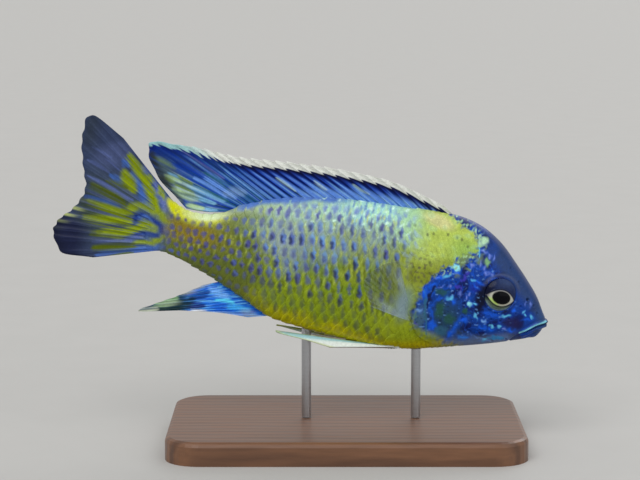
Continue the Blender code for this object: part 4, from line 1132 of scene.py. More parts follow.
# Fins: a membrane with rays raised in its own surface, finer than the solids'. It thins out
# towards its edge, and spines are broader and higher than soft rays
FIN_MEMBRANE = 0.34
FIN_RIDGE = 0.2
RAY_WIDTH = 0.17
RAY_JOINT = 0.85
SPINE_WIDTH = 1.25
SPINE_HEIGHT = 1.5
THINNING = 0.45
# How far the two branches of a ray, and then their twigs, part, against the spacing of the rays
FORK_SPREAD = 0.17
TWIG_SPREAD = 0.07
PLEAT_HEIGHT = 0.1
ROOT_SINK = 0.7


def guides(table):
    """For each column of a guide table, its values from a position in rays."""
    return [lambda at, k=k: curve(column(table, k), at) for k in range(1, len(table[0]))]


def scalloped(height):
    """An edge with a crest of this height at the tip of each ray."""
    return lambda at: height * np.cos(2 * np.pi * at)


def sheet_faces(rows, cols):
    """Faces and UVs of a sheet with two sides of rows by cols points and a wall round it."""
    count = rows * cols
    upper = quads(rows, cols)
    lower = upper[:, ::-1] + count
    rim = rim_of(rows, cols)
    after = np.roll(rim, -1)
    wall = np.stack([rim, after, after + count, rim + count], 1)[:, ::-1]
    i, j = np.divmod(np.arange(count), cols)
    flat = np.stack([i / (rows - 1), j / (cols - 1)], 1) * (0.48, 0.95)
    table = np.concatenate([flat + (left, 0.04) for left in (0.01, 0.51)])
    turn = np.arange(len(rim)) / len(rim)
    edges = ((0.0, 0.02), (1 / len(rim), 0.02), (1 / len(rim), 0.004), (0.0, 0.004))
    strip = np.stack([np.stack([turn + along, 0 * turn + v], 1) for along, v in edges], 1)[:, ::-1]
    return [upper, lower, wall], [table[upper], table[lower], strip]


def fin_sheet(
    node, count, root, tip, tone_of, per_ray, rows, edge, spines=0, wave=None, droop=None
):
    """A fin of count rays as one closed thin solid, with per_ray by rows points to a ray.

    root and tip give (s, y, h) from a position in rays, and edge how far the fin reaches past
    its tips. wave and droop shift its places sideways and down. The first spines are hard.
    """
    at = np.linspace(0, count - 1, (count - 1) * per_ray + 1)
    start, end = np.stack(root(at), -1), np.stack(tip(at), -1)
    reach = np.linalg.norm(end - start, axis=-1)
    start = start + (start - end) / reach[:, None] * ROOT_SINK
    stretch = 1.0 + edge(at) / reach
    a, o = np.meshgrid(at, np.linspace(0, 1, rows), indexing="ij")
    grid = start[:, None] + (end - start)[:, None] * (o * stretch[:, None])[..., None]
    if wave:
        grid[..., 1] += wave(a, o)
    if droop:
        grid[..., 2] -= droop(a, o)
    along = np.gradient(grid, axis=1)
    across = np.gradient(grid, axis=0)
    normal = np.cross(across, along)
    normal /= np.linalg.norm(normal, axis=-1, keepdims=True) + 1e-12
    # Soft rays fork twice on their way out and are jointed; spines stay whole
    phase = a - np.rint(a)
    hard = a < spines - 0.5
    fork = ramp(o, 0.35, 1.0) * FORK_SPREAD
    twig = ramp(o, 0.7, 1.0) * TWIG_SPREAD
    near = np.minimum(np.abs(np.abs(phase) - fork - twig), np.abs(np.abs(phase) - fork + twig))
    near = np.where(hard, np.abs(phase), near) * np.linalg.norm(across, axis=-1) * per_ray
    wide = np.where(hard, RAY_WIDTH * SPINE_WIDTH, RAY_WIDTH) * (1 - THINNING * o)
    joints = np.where(hard, 1.0, 0.8 + 0.2 * np.cos(o * reach[:, None] * 2 * np.pi / RAY_JOINT))
    ray = bell(near, 0.0, wide)
    ridge = FIN_RIDGE * np.where(hard, SPINE_HEIGHT, 1.0) * (1 - 0.55 * o) * ray * joints
    thick = FIN_MEMBRANE * (1 - THINNING * o) / 2 + ridge
    pleat = PLEAT_HEIGHT * np.cos(phase * 2 * np.pi) * ramp(o, 0.05, 0.3)
    sides = [grid + normal * (pleat + way * thick)[..., None] for way in (1, -1)]
    verts = np.concatenate([place(*np.moveaxis(p, -1, 0)).reshape(-1, 3) for p in sides])
    to_edge = (1 - o) * (reach * stretch)[:, None]
    s, h = grid[..., 0], grid[..., 2]
    tone = tone_of(at=a, out=o, s=s, h=h, to_edge=to_edge, phase=phase, ray=ray)
    tones = np.concatenate([tone.reshape(-1, 3)] * 2)
    piece = new_piece(f"{node}_skin", verts, *sheet_faces(len(at), rows), tones)
    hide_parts(node)
    return piece


# Palette of the fins
FIN_WHITE = rgb(216, 219, 212)
FIN_TURQUOISE = rgb(146, 192, 194)
FIN_NAVY = rgb(6, 24, 94)
FIN_ROYAL = rgb(12, 56, 156)
FIN_SKY = rgb(104, 150, 228)
FIN_CYAN = rgb(116, 172, 214)
FIN_TEAL = rgb(40, 100, 120)
FIN_LIME = rgb(118, 146, 58)
FIN_MINT = rgb(168, 200, 148)
FIN_OLIVE_BLACK = rgb(34, 38, 24)
FIN_BLACK = rgb(4, 8, 44)
FIN_PALE = rgb(172, 204, 206)
FIN_HAZE = rgb(92, 136, 212)
FIN_MIST = rgb(146, 190, 226)
FIN_ROOT_BLUE = rgb(20, 58, 92)
FIN_SLATE = rgb(66, 84, 92)
FIN_SMOKE = rgb(96, 122, 132)
FIN_FROST = rgb(176, 206, 214)
FIN_DUSK = rgb(52, 78, 104)
FIN_WHITE_SHADE = rgb(186, 188, 176)
ANAL_BLUE = rgb(34, 116, 224)
ANAL_DEEP_BLUE = rgb(24, 72, 190)
ANAL_SKY = rgb(118, 196, 240)
ANAL_TEAL_BLACK = rgb(34, 62, 74)
ANAL_GREY = rgb(158, 176, 190)
ANAL_MINT = rgb(170, 190, 160)
TAIL_YELLOW = rgb(132, 150, 2)
TAIL_OLIVE = rgb(84, 98, 10)
TAIL_BLUE = rgb(66, 102, 176)
TAIL_DEEP_BLUE = rgb(24, 52, 128)
TAIL_PERIWINKLE = rgb(92, 108, 166)
TAIL_SLATE = rgb(54, 66, 98)
TAIL_HAZE = rgb(76, 88, 130)
TAIL_NAVY = rgb(28, 34, 64)
TAIL_MOSS = rgb(70, 86, 34)
TAIL_SMOKE = rgb(48, 58, 76)
TAIL_FRINGE = rgb(176, 188, 118)
CLEAR_GREEN = rgb(112, 128, 82)
CLEAR_RAY = rgb(160, 178, 170)
CLEAR_MILK = rgb(190, 214, 236)
PELVIC_OLIVE = rgb(142, 154, 36)
PELVIC_BLUE = rgb(96, 128, 150)
PELVIC_SKY = rgb(156, 202, 214)
PELVIC_WHITE = rgb(218, 226, 220)
PELVIC_FRINGE = rgb(180, 190, 120)

# Streaks on the fins: colour, half width, strength, places (s, h) along the streak
TAIL_STREAKS = (
    (TAIL_PERIWINKLE, 0.35, 0.6, ((122.0, 13.6), (119.6, 12.9), (117.0, 11.6), (113.5, 10.2))),
    (TAIL_PERIWINKLE, 0.3, 0.5, ((125.4, 12.0), (122.5, 11.4), (119.4, 10.4))),
    (TAIL_PERIWINKLE, 0.35, 0.4, ((125.4, 15.6), (122.6, 15.0), (119.6, 14.2))),
    (TAIL_BLUE, 0.9, 0.9, ((116.3, 13.9), (115.0, 13.2))),
    (TAIL_BLUE, 0.7, 0.9, ((118.6, 9.6), (116.8, 8.9), (115.6, 8.3))),
    (TAIL_PERIWINKLE, 0.45, 0.9, ((124.6, 8.0), (120.6, 7.2), (116.7, 6.1), (113.8, 5.2), (111.8, 4.8))),
    (TAIL_BLUE, 0.75, 1.0, ((113.6, 11.6), (111.6, 10.0), (109.9, 7.4), (108.8, 5.4), (107.0, 4.3))),
    (TAIL_PERIWINKLE, 0.8, 0.9, ((111.0, 13.6), (109.7, 12.8))),
    (TAIL_PERIWINKLE, 0.75, 1.0, ((107.6, 11.0), (105.9, 8.8), (104.2, 6.4), (102.9, 4.2))),
    (TAIL_BLUE, 0.4, 0.9, ((124.0, 2.8), (121.0, 2.9), (118.0, 2.9), (114.4, 2.3))),
    (TAIL_DEEP_BLUE, 0.75, 1.0, ((110.2, 0.2), (108.4, 1.5), (105.6, 1.2), (103.4, 0.2), (101.9, -1.4))),
    (TAIL_BLUE, 0.4, 0.8, ((109.0, 0.9), (107.4, 1.5), (105.4, 0.7))),
    (TAIL_DEEP_BLUE, 0.5, 0.9, ((108.8, -3.6), (106.1, -2.6), (103.6, -2.8), (101.6, -3.2))),
    (TAIL_PERIWINKLE, 0.55, 0.9, ((111.2, -5.6), (109.2, -4.8), (107.0, -3.9))),
    (TAIL_BLUE, 0.8, 1.0, ((108.6, -8.3), (105.5, -6.7), (103.2, -5.8), (101.2, -4.9))),
    (TAIL_PERIWINKLE, 0.45, 0.9, ((119.6, -8.3), (116.0, -7.5), (112.6, -6.5), (109.6, -5.9))),
    (TAIL_BLUE, 0.6, 0.8, ((117.6, -11.4), (114.6, -9.9), (111.4, -8.8), (109.0, -8.0))),
    (TAIL_YELLOW, 1.0, 1.0, ((115.2, 15.6), (113.0, 13.7), (111.4, 12.0), (109.4, 9.8))),
    (TAIL_YELLOW, 1.1, 1.0, ((109.9, 11.5), (108.3, 10.7))),
    (TAIL_YELLOW, 1.0, 1.0, ((110.0, 10.4), (107.8, 8.0), (106.2, 6.0), (105.0, 4.0))),
    (TAIL_YELLOW, 0.6, 0.9, ((105.8, 9.7), (103.9, 7.4))),
    (TAIL_YELLOW, 1.45, 1.0, ((115.4, 11.1), (113.8, 9.2), (112.2, 7.4))),
    (TAIL_OLIVE, 0.6, 0.9, ((119.4, 8.2), (116.6, 7.8), (114.0, 7.2))),
    (TAIL_OLIVE, 0.8, 0.9, ((122.8, 6.0), (118.8, 5.2), (115.5, 4.5), (113.6, 3.5))),
    (TAIL_YELLOW, 1.15, 0.9, ((111.8, 3.3), (108.5, 4.0), (105.5, 3.5), (102.8, 2.4), (100.4, 1.0))),
    (TAIL_YELLOW, 0.9, 0.8, ((110.4, 3.0), (112.0, 1.9), (114.6, 1.0), (118.6, 1.0), (122.6, 1.5))),
    (TAIL_YELLOW, 0.95, 1.0, ((111.0, -0.8), (114.4, -1.1), (117.3, -1.9), (120.2, -2.4), (123.0, -2.8))),
    (TAIL_YELLOW, 1.0, 1.0, ((109.0, -2.2), (110.8, -3.2), (113.0, -4.6), (115.8, -5.0), (118.6, -5.8))),
    (TAIL_OLIVE, 0.7, 0.8, ((117.8, -5.6), (120.4, -6.5))),
    (TAIL_YELLOW, 1.15, 1.0, ((108.8, -1.9), (107.0, -0.7), (104.4, -1.0))),
    (TAIL_YELLOW, 0.75, 0.9, ((101.4, -2.4), (104.0, -4.5), (107.0, -5.2), (109.4, -6.7))),
    (TAIL_OLIVE, 0.85, 1.0, ((108.8, -6.5), (112.0, -7.5), (115.2, -8.5), (118.8, -9.8))),
    (TAIL_OLIVE, 0.35, 0.9, ((108.4, -8.6), (110.4, -9.4), (113.6, -10.9))),
)
DORSAL_STREAKS = (
    (rgb(18, 46, 116), 1.5, 0.8, ((107.6, 18.6), (102.0, 18.0), (96.0, 17.6), (91.0, 18.2))),
    (FIN_ROYAL, 0.8, 0.8, ((103.4, 16.0), (99.6, 15.6), (95.0, 14.4))),
    (rgb(100, 112, 186), 0.3, 0.7, ((103.0, 20.5), (99.6, 19.8), (95.0, 18.2), (90.0, 16.2))),
    (FIN_SKY, 0.5, 0.8, ((97.4, 14.2), (93.0, 13.4), (88.4, 11.4))),
    (FIN_CYAN, 0.5, 0.9, ((98.6, 12.0), (94.0, 11.3), (88.6, 10.2))),
    (FIN_TEAL, 0.3, 0.8, ((95.0, 16.3), (91.0, 15.0), (86.4, 12.0))),
    (FIN_TEAL, 0.3, 0.8, ((97.6, 13.3), (93.6, 12.4), (87.6, 10.8))),
    (FIN_SKY, 0.45, 0.8, ((94.6, 15.4), (90.0, 13.8), (86.0, 12.0))),
    (FIN_CYAN, 0.5, 1.0, ((98.0, 9.2), (94.0, 9.2), (91.0, 9.0))),
    (FIN_CYAN, 0.45, 1.0, ((95.4, 7.0), (92.4, 7.3), (90.0, 7.9))),
    (FIN_ROYAL, 0.35, 0.9, ((98.6, 8.2), (96.2, 8.3), (92.0, 8.2))),
    (FIN_LIME * 0.7, 0.7, 0.6, ((108.6, 16.8), (106.4, 16.2), (103.0, 15.2))),
    (FIN_CYAN, 0.3, 0.8, ((104.4, 14.0), (102.2, 13.6), (99.6, 12.6), (96.0, 11.6))),
    (FIN_MINT, 0.4, 0.8, ((105.2, 13.2), (102.6, 12.8), (100.6, 12.4))),
    (FIN_LIME, 0.6, 0.7, ((104.6, 12.6), (102.4, 12.0))),
    (FIN_LIME, 0.7, 0.8, ((101.4, 14.0), (99.6, 13.2), (98.0, 12.8))),
    (FIN_LIME * 0.8, 0.6, 0.8, ((101.6, 11.3), (99.4, 10.9), (97.0, 10.3))),
    (FIN_MINT, 0.65, 1.0, ((102.2, 10.0), (99.8, 9.6), (97.0, 9.0), (95.4, 8.8))),
    (FIN_MINT, 0.65, 1.0, ((97.6, 6.6), (95.6, 6.9), (93.8, 7.1))),
    (FIN_OLIVE_BLACK, 1.3, 0.85, (
        (109.6, 17.4), (107.6, 14.2), (105.4, 11.8), (102.8, 9.4), (99.6, 7.2),
    )),
    (rgb(132, 166, 214), 1.1, 0.55, ((88.6, 12.4), (86.4, 13.4), (84.2, 13.8))),
    (FIN_PALE, 0.3, 0.6, ((76.6, 19.6), (74.0, 18.6), (71.6, 17.5))),
    (FIN_PALE, 0.35, 0.6, ((67.0, 21.2), (65.2, 20.4), (63.6, 19.7))),
    (FIN_PALE, 0.3, 0.6, ((56.8, 22.6), (54.6, 21.8), (52.6, 21.2))),
)
ANAL_STREAKS = (
    (rgb(120, 180, 250), 1.0, 0.9, ((87.0, -12.6), (84.4, -13.2), (82.0, -14.0))),
    (rgb(92, 214, 246), 0.5, 0.9, ((84.6, -15.2), (82.0, -14.8), (80.0, -14.9))),
    (rgb(64, 176, 244), 0.6, 0.8, ((81.0, -16.2), (78.4, -15.8), (75.6, -16.0))),
    (rgb(20, 60, 132), 0.9, 0.9, ((91.0, -16.4), (88.8, -15.2), (87.2, -14.0))),
    (rgb(18, 28, 108), 0.9, 0.9, ((91.4, -18.6), (89.4, -18.1), (87.6, -17.6))),
    (rgb(20, 46, 44), 1.2, 0.9, ((98.4, -21.2), (95.0, -19.9), (92.2, -18.4), (90.6, -16.8))),
    (rgb(164, 174, 178), 0.7, 0.9, ((95.6, -16.2), (92.4, -14.8), (89.4, -12.6), (87.4, -11.4))),
    (rgb(138, 176, 130), 0.9, 0.9, ((100.0, -20.2), (97.4, -19.2), (94.8, -17.4))),
    (rgb(190, 198, 176), 0.5, 0.9, ((104.0, -23.3), (101.4, -22.6), (99.0, -21.4))),
    (rgb(236, 240, 240), 0.35, 1.0, ((90.2, -19.6), (88.4, -19.3), (86.4, -18.9))),
    (rgb(150, 184, 228), 0.3, 0.9, ((86.0, -18.8), (81.0, -18.1), (76.4, -17.3), (71.6, -16.5))),
)


def paint_streaks(tone, s, h, frayed, streaks, torn):
    """Paints each streak with soft edges, torn along the rays by frayed."""
    for colour, half_width, strength, points in streaks:
        away, along = line_distance(smooth_line(points, 4), s, h)
        width = half_width * (0.65 + 0.45 * np.sin(np.pi * along))
        solid = strength * (1.0 - torn * ramp(frayed, 0.05, 0.4))
        paint(tone, colour, solid * ramp(away + 0.6 * frayed, width * 1.8, width * 0.2))


def frayed_rays(at, out, seed):
    """A noise of long thin strands along the rays."""
    wide = 0.3 * ripple(at * 3.0, out * 1.8, 1.3, seed)
    return wide + 0.28 * ripple(at * 8.0, out * 2.0, 1.3, seed + 1)


# Breadth of the cream band along the dorsal fin's edge, against s
DORSAL_BAND = (
    (30, 0.5), (34, 1.1), (38, 1.3), (44, 1.4), (52, 1.6), (66, 1.75), (86, 1.8), (98, 1.6),
    (105, 1.1), (111, 0.7),
)


def stair(at):
    """A saw over the rays that climbs slowly from 0 to 1 and drops just ahead of the next ray."""
    phase = at - np.floor(at)
    return ramp(phase, 0.02, 0.86) - ramp(phase, 0.88, 1.0)


def lappet(at):
    """The stepped edge of the spiny dorsal fin, which turns into a soft wave over the soft rays."""
    fade = ramp(at, DORSAL_SPINES + 2.0, DORSAL_SPINES + 4.0)
    height = 0.35 + 0.6 * ramp(at, 6.0, 9.0)
    return height * (stair(at) - 0.5) * (1 - fade) + 0.2 * np.cos(2 * np.pi * at) * fade


def dorsal_edge():
    """The line along the dorsal fin's front and upper edge."""
    root_s, tip_s, tip_h = guides(DORSAL_GUIDES)
    at = np.linspace(0.0, 22.0, 67)
    return np.concatenate([[(root_s(0.0), back(root_s(0.0)))], np.stack([tip_s(at), tip_h(at)], 1)])


def dorsal_tone(at, out, s, h, ray, **_):
    """Blue streaked along the rays, with a cream edge; at and out are places in the fin."""
    t = at - np.floor(at)
    soft = ramp(at, 15.0, 19.0)
    grain = ripple(at * 9.0, out * 3.0, 2.0, 51)
    uneven = 0.7 + 0.3 * np.clip(ripple(at * 2.4, out * 1.4, 1.0, 52), -1, 1)
    from_edge, _ = line_distance(dorsal_edge(), s, h)
    band = curve(DORSAL_BAND, s) + 0.5 * (0.5 - stair(at)) * (1 - soft)
    under = from_edge - band
    base = h - back(np.clip(s, 0, BODY_LENGTH))
    tone = plain(FIN_ROYAL, at)
    late = ramp(at, 17.0, 22.0)
    light = ramp(np.abs(t - 0.62), 0.36 - 0.1 * soft, 0.05) * ramp(under + 0.5 * grain, 0.9, 3.4)
    paint(tone, FIN_SKY, light * uneven * (0.95 - 0.5 * late))
    paint(tone, FIN_CYAN, light * ramp(grain, 0.3, 1.0) * (1 - soft) * ramp(base, 6.0, 2.0) * 0.7)
    dark = ramp(np.abs(t - 0.14), 0.40 - 0.2 * ramp(under, 1.5, 4.0), 0.05)
    paint(tone, FIN_NAVY, dark * (1.0 - 0.7 * soft))
    low = ramp(base + 0.5 * grain, 3.4, 1.0) * ramp(s, 74.0, 66.0)
    paint(tone, FIN_HAZE, low * 0.85)
    paint(tone, FIN_MIST, low * ramp(grain, 0.2, 0.9) * 0.6)
    paint(tone, FIN_ROOT_BLUE, bell(base + 0.3 * grain, 0.9, 0.8) * ramp(s, 66.0, 72.0) * dark)
    strands = ripple(at * 5.0, out * 1.6, 1.0, 56)
    paint(tone, FIN_TEAL, 0.7 * soft * ramp(strands, 0.1, 0.8) * ramp(out, 0.95, 0.7))
    paint(tone, FIN_CYAN * 0.8, 0.6 * soft * ramp(strands, -0.3, -1.0) * ramp(out, 0.9, 0.6))
    paint(tone, FIN_SLATE, 0.85 * mark(s, h, 103.0, 12.4, 8.0, 3.2, -38))
    paint(tone, FIN_SMOKE, 0.6 * mark(s, h, 101.0, 12.0, 6.0, 3.0, -38) * ramp(strands, 0.0, 0.8))
    paint(tone, FIN_NAVY, ramp(under + 0.3 * grain, 2.2, 0.6) * (0.95 - 0.25 * soft))
    paint_streaks(tone, s, h, frayed_rays(at, out, 53), DORSAL_STREAKS, 0.65)
    low_rear = mark(s, h, 97.0, 9.5, 10.0, 4.5, -25)
    hairs = ripple(at * 11.0, out * 2.2, 1.0, 57)
    paint(tone, FIN_FROST, 0.55 * low_rear * ramp(hairs, 0.3, 1.1))
    paint(tone, FIN_DUSK, 0.6 * low_rear * ramp(hairs, -0.3, -1.1))
    # The cream band narrows from each spine to the next and turns turquoise over the soft rays
    edge_colour = plain(FIN_WHITE, at)
    paint(edge_colour, FIN_WHITE_SHADE, ramp(ripple(at * 4, out * 40, 2.0, 55), 0.2, 1.0) * 0.5)
    paint(edge_colour, FIN_TURQUOISE, ramp(at, 17.0, 20.5))
    paint(tone, FIN_BLACK, 0.9 * bell(under, 0.35, 0.5) * (1 - soft))
    paint(tone, edge_colour, ramp(under + 0.3 * soft * grain, 0.12, -0.12) * ramp(at, 22.7, 21.9))
    # Painted highlight: the raised rays are painted lighter
    paint(tone, tone * 1.2, 0.25 * ray)
    return tone


def dorsal_fin():
    """The dorsal fin, spiny in front and soft behind, its last rays drooping."""
    root_s, tip_s, tip_h = guides(DORSAL_GUIDES)
    height, turn = DORSAL_WAVE

    def wave(at, out):
        soft = np.maximum(0.0, at - DORSAL_SPINES) / DORSAL_RAYS
        return height * soft * out * out * np.sin(at * turn)

    return fin_sheet(
        "dorsal_fin",
        DORSAL_SPINES + DORSAL_RAYS,
        lambda at: (root_s(at), 0 * at, back(root_s(at))),
        lambda at: (tip_s(at), 0 * at, tip_h(at)),
        dorsal_tone,
        per_ray=14,
        rows=72,
        edge=lappet,
        spines=DORSAL_SPINES,
        wave=wave,
        droop=lambda at, out: ramp(at, 22.5, 25.0) * (0.75 * out + 0.45 * np.sin(np.pi * out)),
    )


def anal_tone(at, out, s, h, ray, **_):
    """Bright blue, dark and pale towards the point."""
    tone = plain(ANAL_BLUE, at)
    streak = ripple(at * 2.4, out * 3.0, 1.0, 61)
    paint(tone, ANAL_DEEP_BLUE, ramp(streak, 0.0, 0.8) * 0.7)
    paint(tone, ANAL_SKY, ramp(ripple(at * 3.0, out * 4.0, 1.0, 62), 0.3, 0.9) * 0.6)
    paint(tone, ANAL_TEAL_BLACK, ramp(s, 90.0, 94.0) * 0.9)
    paint_streaks(tone, s, h, frayed_rays(at, out, 63), ANAL_STREAKS, 0.5)
    paint(tone, ANAL_GREY, 0.45 * mark(s, h, 75.6, -16.6, 2.4, 1.2, 0))
    paint(tone, ANAL_MINT, 0.5 * mark(s, h, 96.4, -19.2, 3.4, 0.9, 20))
    # Painted highlight: the raised rays are painted lighter
    paint(tone, tone * 1.25, 0.3 * ray)
    return tone


def anal_fin():
    """The anal fin, drawn out to a point."""
    root_s, tip_s, tip_h = guides(ANAL_GUIDES)
    return fin_sheet(
        "anal_fin",
        ANAL_ELEMENTS,
        lambda at: (root_s(at), 0 * at, belly(root_s(at))),
        lambda at: (tip_s(at), 0 * at, tip_h(at)),
        anal_tone,
        per_ray=16,
        rows=80,
        edge=scalloped(0.15),
        spines=3,
    )


def tail_ground(s, h, frayed):
    """The tail fin's colours, which its scaly root shares."""
    tone = plain(TAIL_SLATE, s)
    middle = bell(h, 0.8, 6.5) * ramp(s, 127.0, 123.0)
    paint(tone, TAIL_MOSS, middle * 0.9)
    paint(tone, TAIL_PERIWINKLE * 0.7, middle * ramp(frayed, -0.05, 0.4) * 0.8)
    paint(tone, TAIL_HAZE, 0.8 * mark(s, h, 118.5, 15.5, 6.0, 3.4, 30))
    paint(tone, TAIL_SMOKE, ramp(s, 122.0, 127.0) * ramp(h, 12.0, 18.0))
    paint(tone, TAIL_NAVY, ramp(s, 118.5, 124.5) * ramp(h, -2.5, -5.5))
    paint(tone, TAIL_BLUE * 0.7, ramp(s, 113.0, 108.0) * 0.7)
    paint_streaks(tone, s, h, frayed, TAIL_STREAKS, 0.25)
    paint(tone, TAIL_SLATE * 0.7, middle * ramp(s, 117.0, 124.0) * 0.5)
    paint(tone, TAIL_LOBE_YELLOW, mark(s, h, 101.0, 5.7, 2.8, 1.1, -42))
    return tone


def caudal_tone(at, out, s, h, to_edge, phase, ray):
    """The tail's streaks with darker edges, a pale fringe, and painted highlights on the rays with
    painted shade between them.
    """
    frayed = frayed_rays(at, out, 73)
    tone = tail_ground(s, h, frayed)
    paint(tone, TAIL_NAVY * 0.6, ramp(to_edge, 3.0, 0.3) * ramp(h, -2.5, -6.0) * 0.8)
    paint(tone, TAIL_SLATE * 0.8, ramp(to_edge, 1.6, 0.0) * ramp(at, 9.0, 7.0) * 0.5)
    fringe = ramp(to_edge, 4.0, 0.5) * bell(h, -2.4, 2.6)
    paint(tone, TAIL_FRINGE, fringe * ramp(np.abs(phase), 0.3, 0.05))
    # Painted shade between the rays and a painted highlight along the raised rays
    paint(tone, tone * 0.6, ramp(ray, 0.5, 0.0) * ramp(out, 0.2, 0.5) * 0.3)
    paint(tone, tone * 1.35, 0.4 * ray)
    return tone


def caudal_fin():
    """The tail fin."""
    root_h, tip_s, tip_h = guides(CAUDAL_GUIDES)
    height, turn = CAUDAL_WAVE
    return fin_sheet(
        "caudal_fin",
        CAUDAL_RAYS,
        lambda at: (0 * at + BODY_LENGTH, 0 * at, root_h(at)),
        lambda at: (tip_s(at), 0 * at, tip_h(at)),
        caudal_tone,
        per_ray=16,
        rows=110,
        edge=scalloped(0.18),
        wave=lambda at, out: height * out * out * np.sin(at * turn),
    )


def pectoral_tone(at, out, ray, **_):
    """Clear, showing the flank's green, milky at the root, along the rays and at both edges."""
    tone = plain(CLEAR_GREEN, at)
    paint(tone, CLEAR_RAY, ray * 0.6)
    milky = np.maximum(ramp(at, 3.4, 1.2), ramp(at, 8.5, 11.0))
    paint(tone, CLEAR_MILK, np.maximum(milky * ramp(out, 1.0, 0.5), ramp(out, 0.5, 0.15)))
    return tone


def pectoral_fins():
    """Both pectoral fins, standing out from the flank behind the gill covers."""
    root_s, root_h, tip_s, tip_y, tip_h = guides(PECTORAL_GUIDES)

    def root(at, side):
        s, h = root_s(at), root_h(at)
        return s, side * look_up(BODY_Y, s, arc_at(s, h) / girth(s)), h

    return [
        fin_sheet(
            f"pectoral_fin_{word}",
            PECTORAL_RAYS,
            lambda at: root(at, side),
            lambda at: (tip_s(at), side * tip_y(at), tip_h(at)),
            pectoral_tone,
            per_ray=10,
            rows=48,
            edge=scalloped(0.15),
        )
        for side, word in SIDES
    ]


def pelvic_tone(at, out, to_edge, **_):
    """Olive and blue, with a white leading edge."""
    tone = plain(PELVIC_OLIVE, at)
    paint(tone, PELVIC_BLUE, 0.7 * ramp(ripple(at * 3.0, out * 5.0, 1.0, 81), 0.1, 0.8))
    paint(tone, PELVIC_SKY, ramp(at, 1.6, 0.9) * 0.9)
    paint(tone, PELVIC_WHITE, ramp(at, 0.9, 0.3))
    paint(tone, PELVIC_FRINGE, ramp(to_edge, 2.0, 0.5) * 0.6)
    return tone


def pelvic_fins():
    """Both pelvic fins, close under the belly."""
    root_s, root_y, tip_s, tip_y, tip_h = guides(PELVIC_GUIDES)

    def root(at, side):
        s, y = root_s(at), root_y(at)
        share = np.full(s.shape, 0.75)
        # The share of the girth where the belly is y broad, found step by step
        for _ in range(24):
            share = np.clip(share + 0.02 * (look_up(BODY_Y, s, share) - y), 0.5, 1.0)
        return s, side * y, look_up(BODY_H, s, share)

    return [
        fin_sheet(
            f"pelvic_fin_{word}",
            PELVIC_RAYS,
            lambda at: root(at, side),
            lambda at: (tip_s(at), side * tip_y(at), tip_h(at)),
            pelvic_tone,
            per_ray=16,
            rows=48,
            edge=scalloped(0.15),
            spines=1,
        )
        for side, word in SIDES
    ]


# The eye, in millimetres; its cream ring is almond-shaped and lies behind the pupil
LENS_HEIGHT = 0.3
PUPIL_HALF_LENGTH = 2.42
PUPIL_HALF_HEIGHT = 1.64
RING_HALF_LENGTH = 3.75
RING_HALF_HEIGHT = 2.0
RING_MIDDLE = (0.15, -0.75)
PUPIL_GROOVE = 0.07
# Rings of the eyeball by their angle from its axis: close together in front, wide apart behind
EYE_RINGS_DEG = (*np.linspace(0.0, 66.0, 60)[1:], *np.linspace(72.0, 176.0, 12))
EYE_TURNS = 120
# The pupil stands out on the rings within this angle
EYE_FRONT_DEG = 69.0
# Palette of the eye
IRIS_NAVY = rgb(32, 44, 80)
IRIS_BLACK = rgb(12, 16, 42)
IRIS_SLATE = rgb(50, 66, 104)
IRIS_OLIVE = rgb(84, 100, 84)
IRIS_TEAL = rgb(40, 58, 70)
IRIS_RIM = rgb(44, 58, 98)
IRIS_RIM_HIGHLIGHT = rgb(112, 142, 160)
RING_CREAM = rgb(190, 190, 174)
RING_SHADE = rgb(140, 138, 138)
RING_REAR = rgb(124, 122, 126)
RING_LIME = rgb(182, 210, 116)
RING_SHADOW = rgb(10, 12, 20)
PUPIL_BLACK = rgb(2, 2, 8)


def eye_tone(x, y):
    """Colour of the eye at x towards the snout and y up, in millimetres from its middle."""
    r = np.hypot(x, y)
    tone = plain(IRIS_NAVY, x)
    paint(tone, IRIS_BLACK, ramp(-0.8 * x - 0.1 * y, 0.6, 2.8))
    paint(tone, IRIS_SLATE, 0.9 * ramp(y, 1.6, 3.8) * ramp(x, -2.6, 0.4))
    paint(tone, IRIS_OLIVE, ramp(y + 0.12 * x, -1.6, -2.8))
    paint(tone, IRIS_TEAL, 0.6 * ramp(y, -3.2, -3.9))
    paint(tone, IRIS_RIM, ramp(r, 3.7, 4.3) * ramp(y, -2.0, 1.0) * ramp(x, -2.0, 0.0))
    # Painted highlight: a pale arc along the eye's lower rim
    paint(tone, IRIS_RIM_HIGHLIGHT, 0.7 * bell(r, 3.95, 0.22) * ramp(y, -1.6, -3.0))
    threads = ripple(np.arctan2(y, x) * 9.0, r * 0.6, 1.0, 91)
    paint(tone, tone * 1.3, 0.5 * ramp(threads, 0.1, 0.9))
    px, py = x - RING_MIDDLE[0], y - RING_MIDDLE[1]
    bound = RING_HALF_HEIGHT * np.clip(1 - (np.abs(px) / RING_HALF_LENGTH) ** 2.1, 0.0, 1.0)
    ring = ramp(bound - np.abs(py), -0.15, 0.15)
    cream = plain(RING_CREAM, x)
    paint(cream, RING_SHADE, ramp(py, 0.2, 1.6) * 0.8)
    paint(cream, RING_REAR, ramp(-px, 2.6, 3.6))
    paint(cream, RING_LIME, ramp(-px - 0.3 * py, 0.2, 1.6) * ramp(py, 0.0, -0.9))
    # Painted shadow: a thin dark line round the cream ring
    paint(tone, RING_SHADOW, 0.8 * bell(bound - np.abs(py), -0.25, 0.16) * ramp(r, 3.9, 3.3))
    paint(tone, cream, ring)
    pupil = np.hypot(px / PUPIL_HALF_LENGTH, (py - 0.12) / PUPIL_HALF_HEIGHT)
    paint(tone, PUPIL_BLACK, ramp(pupil, 1.1, 0.97))
    return tone


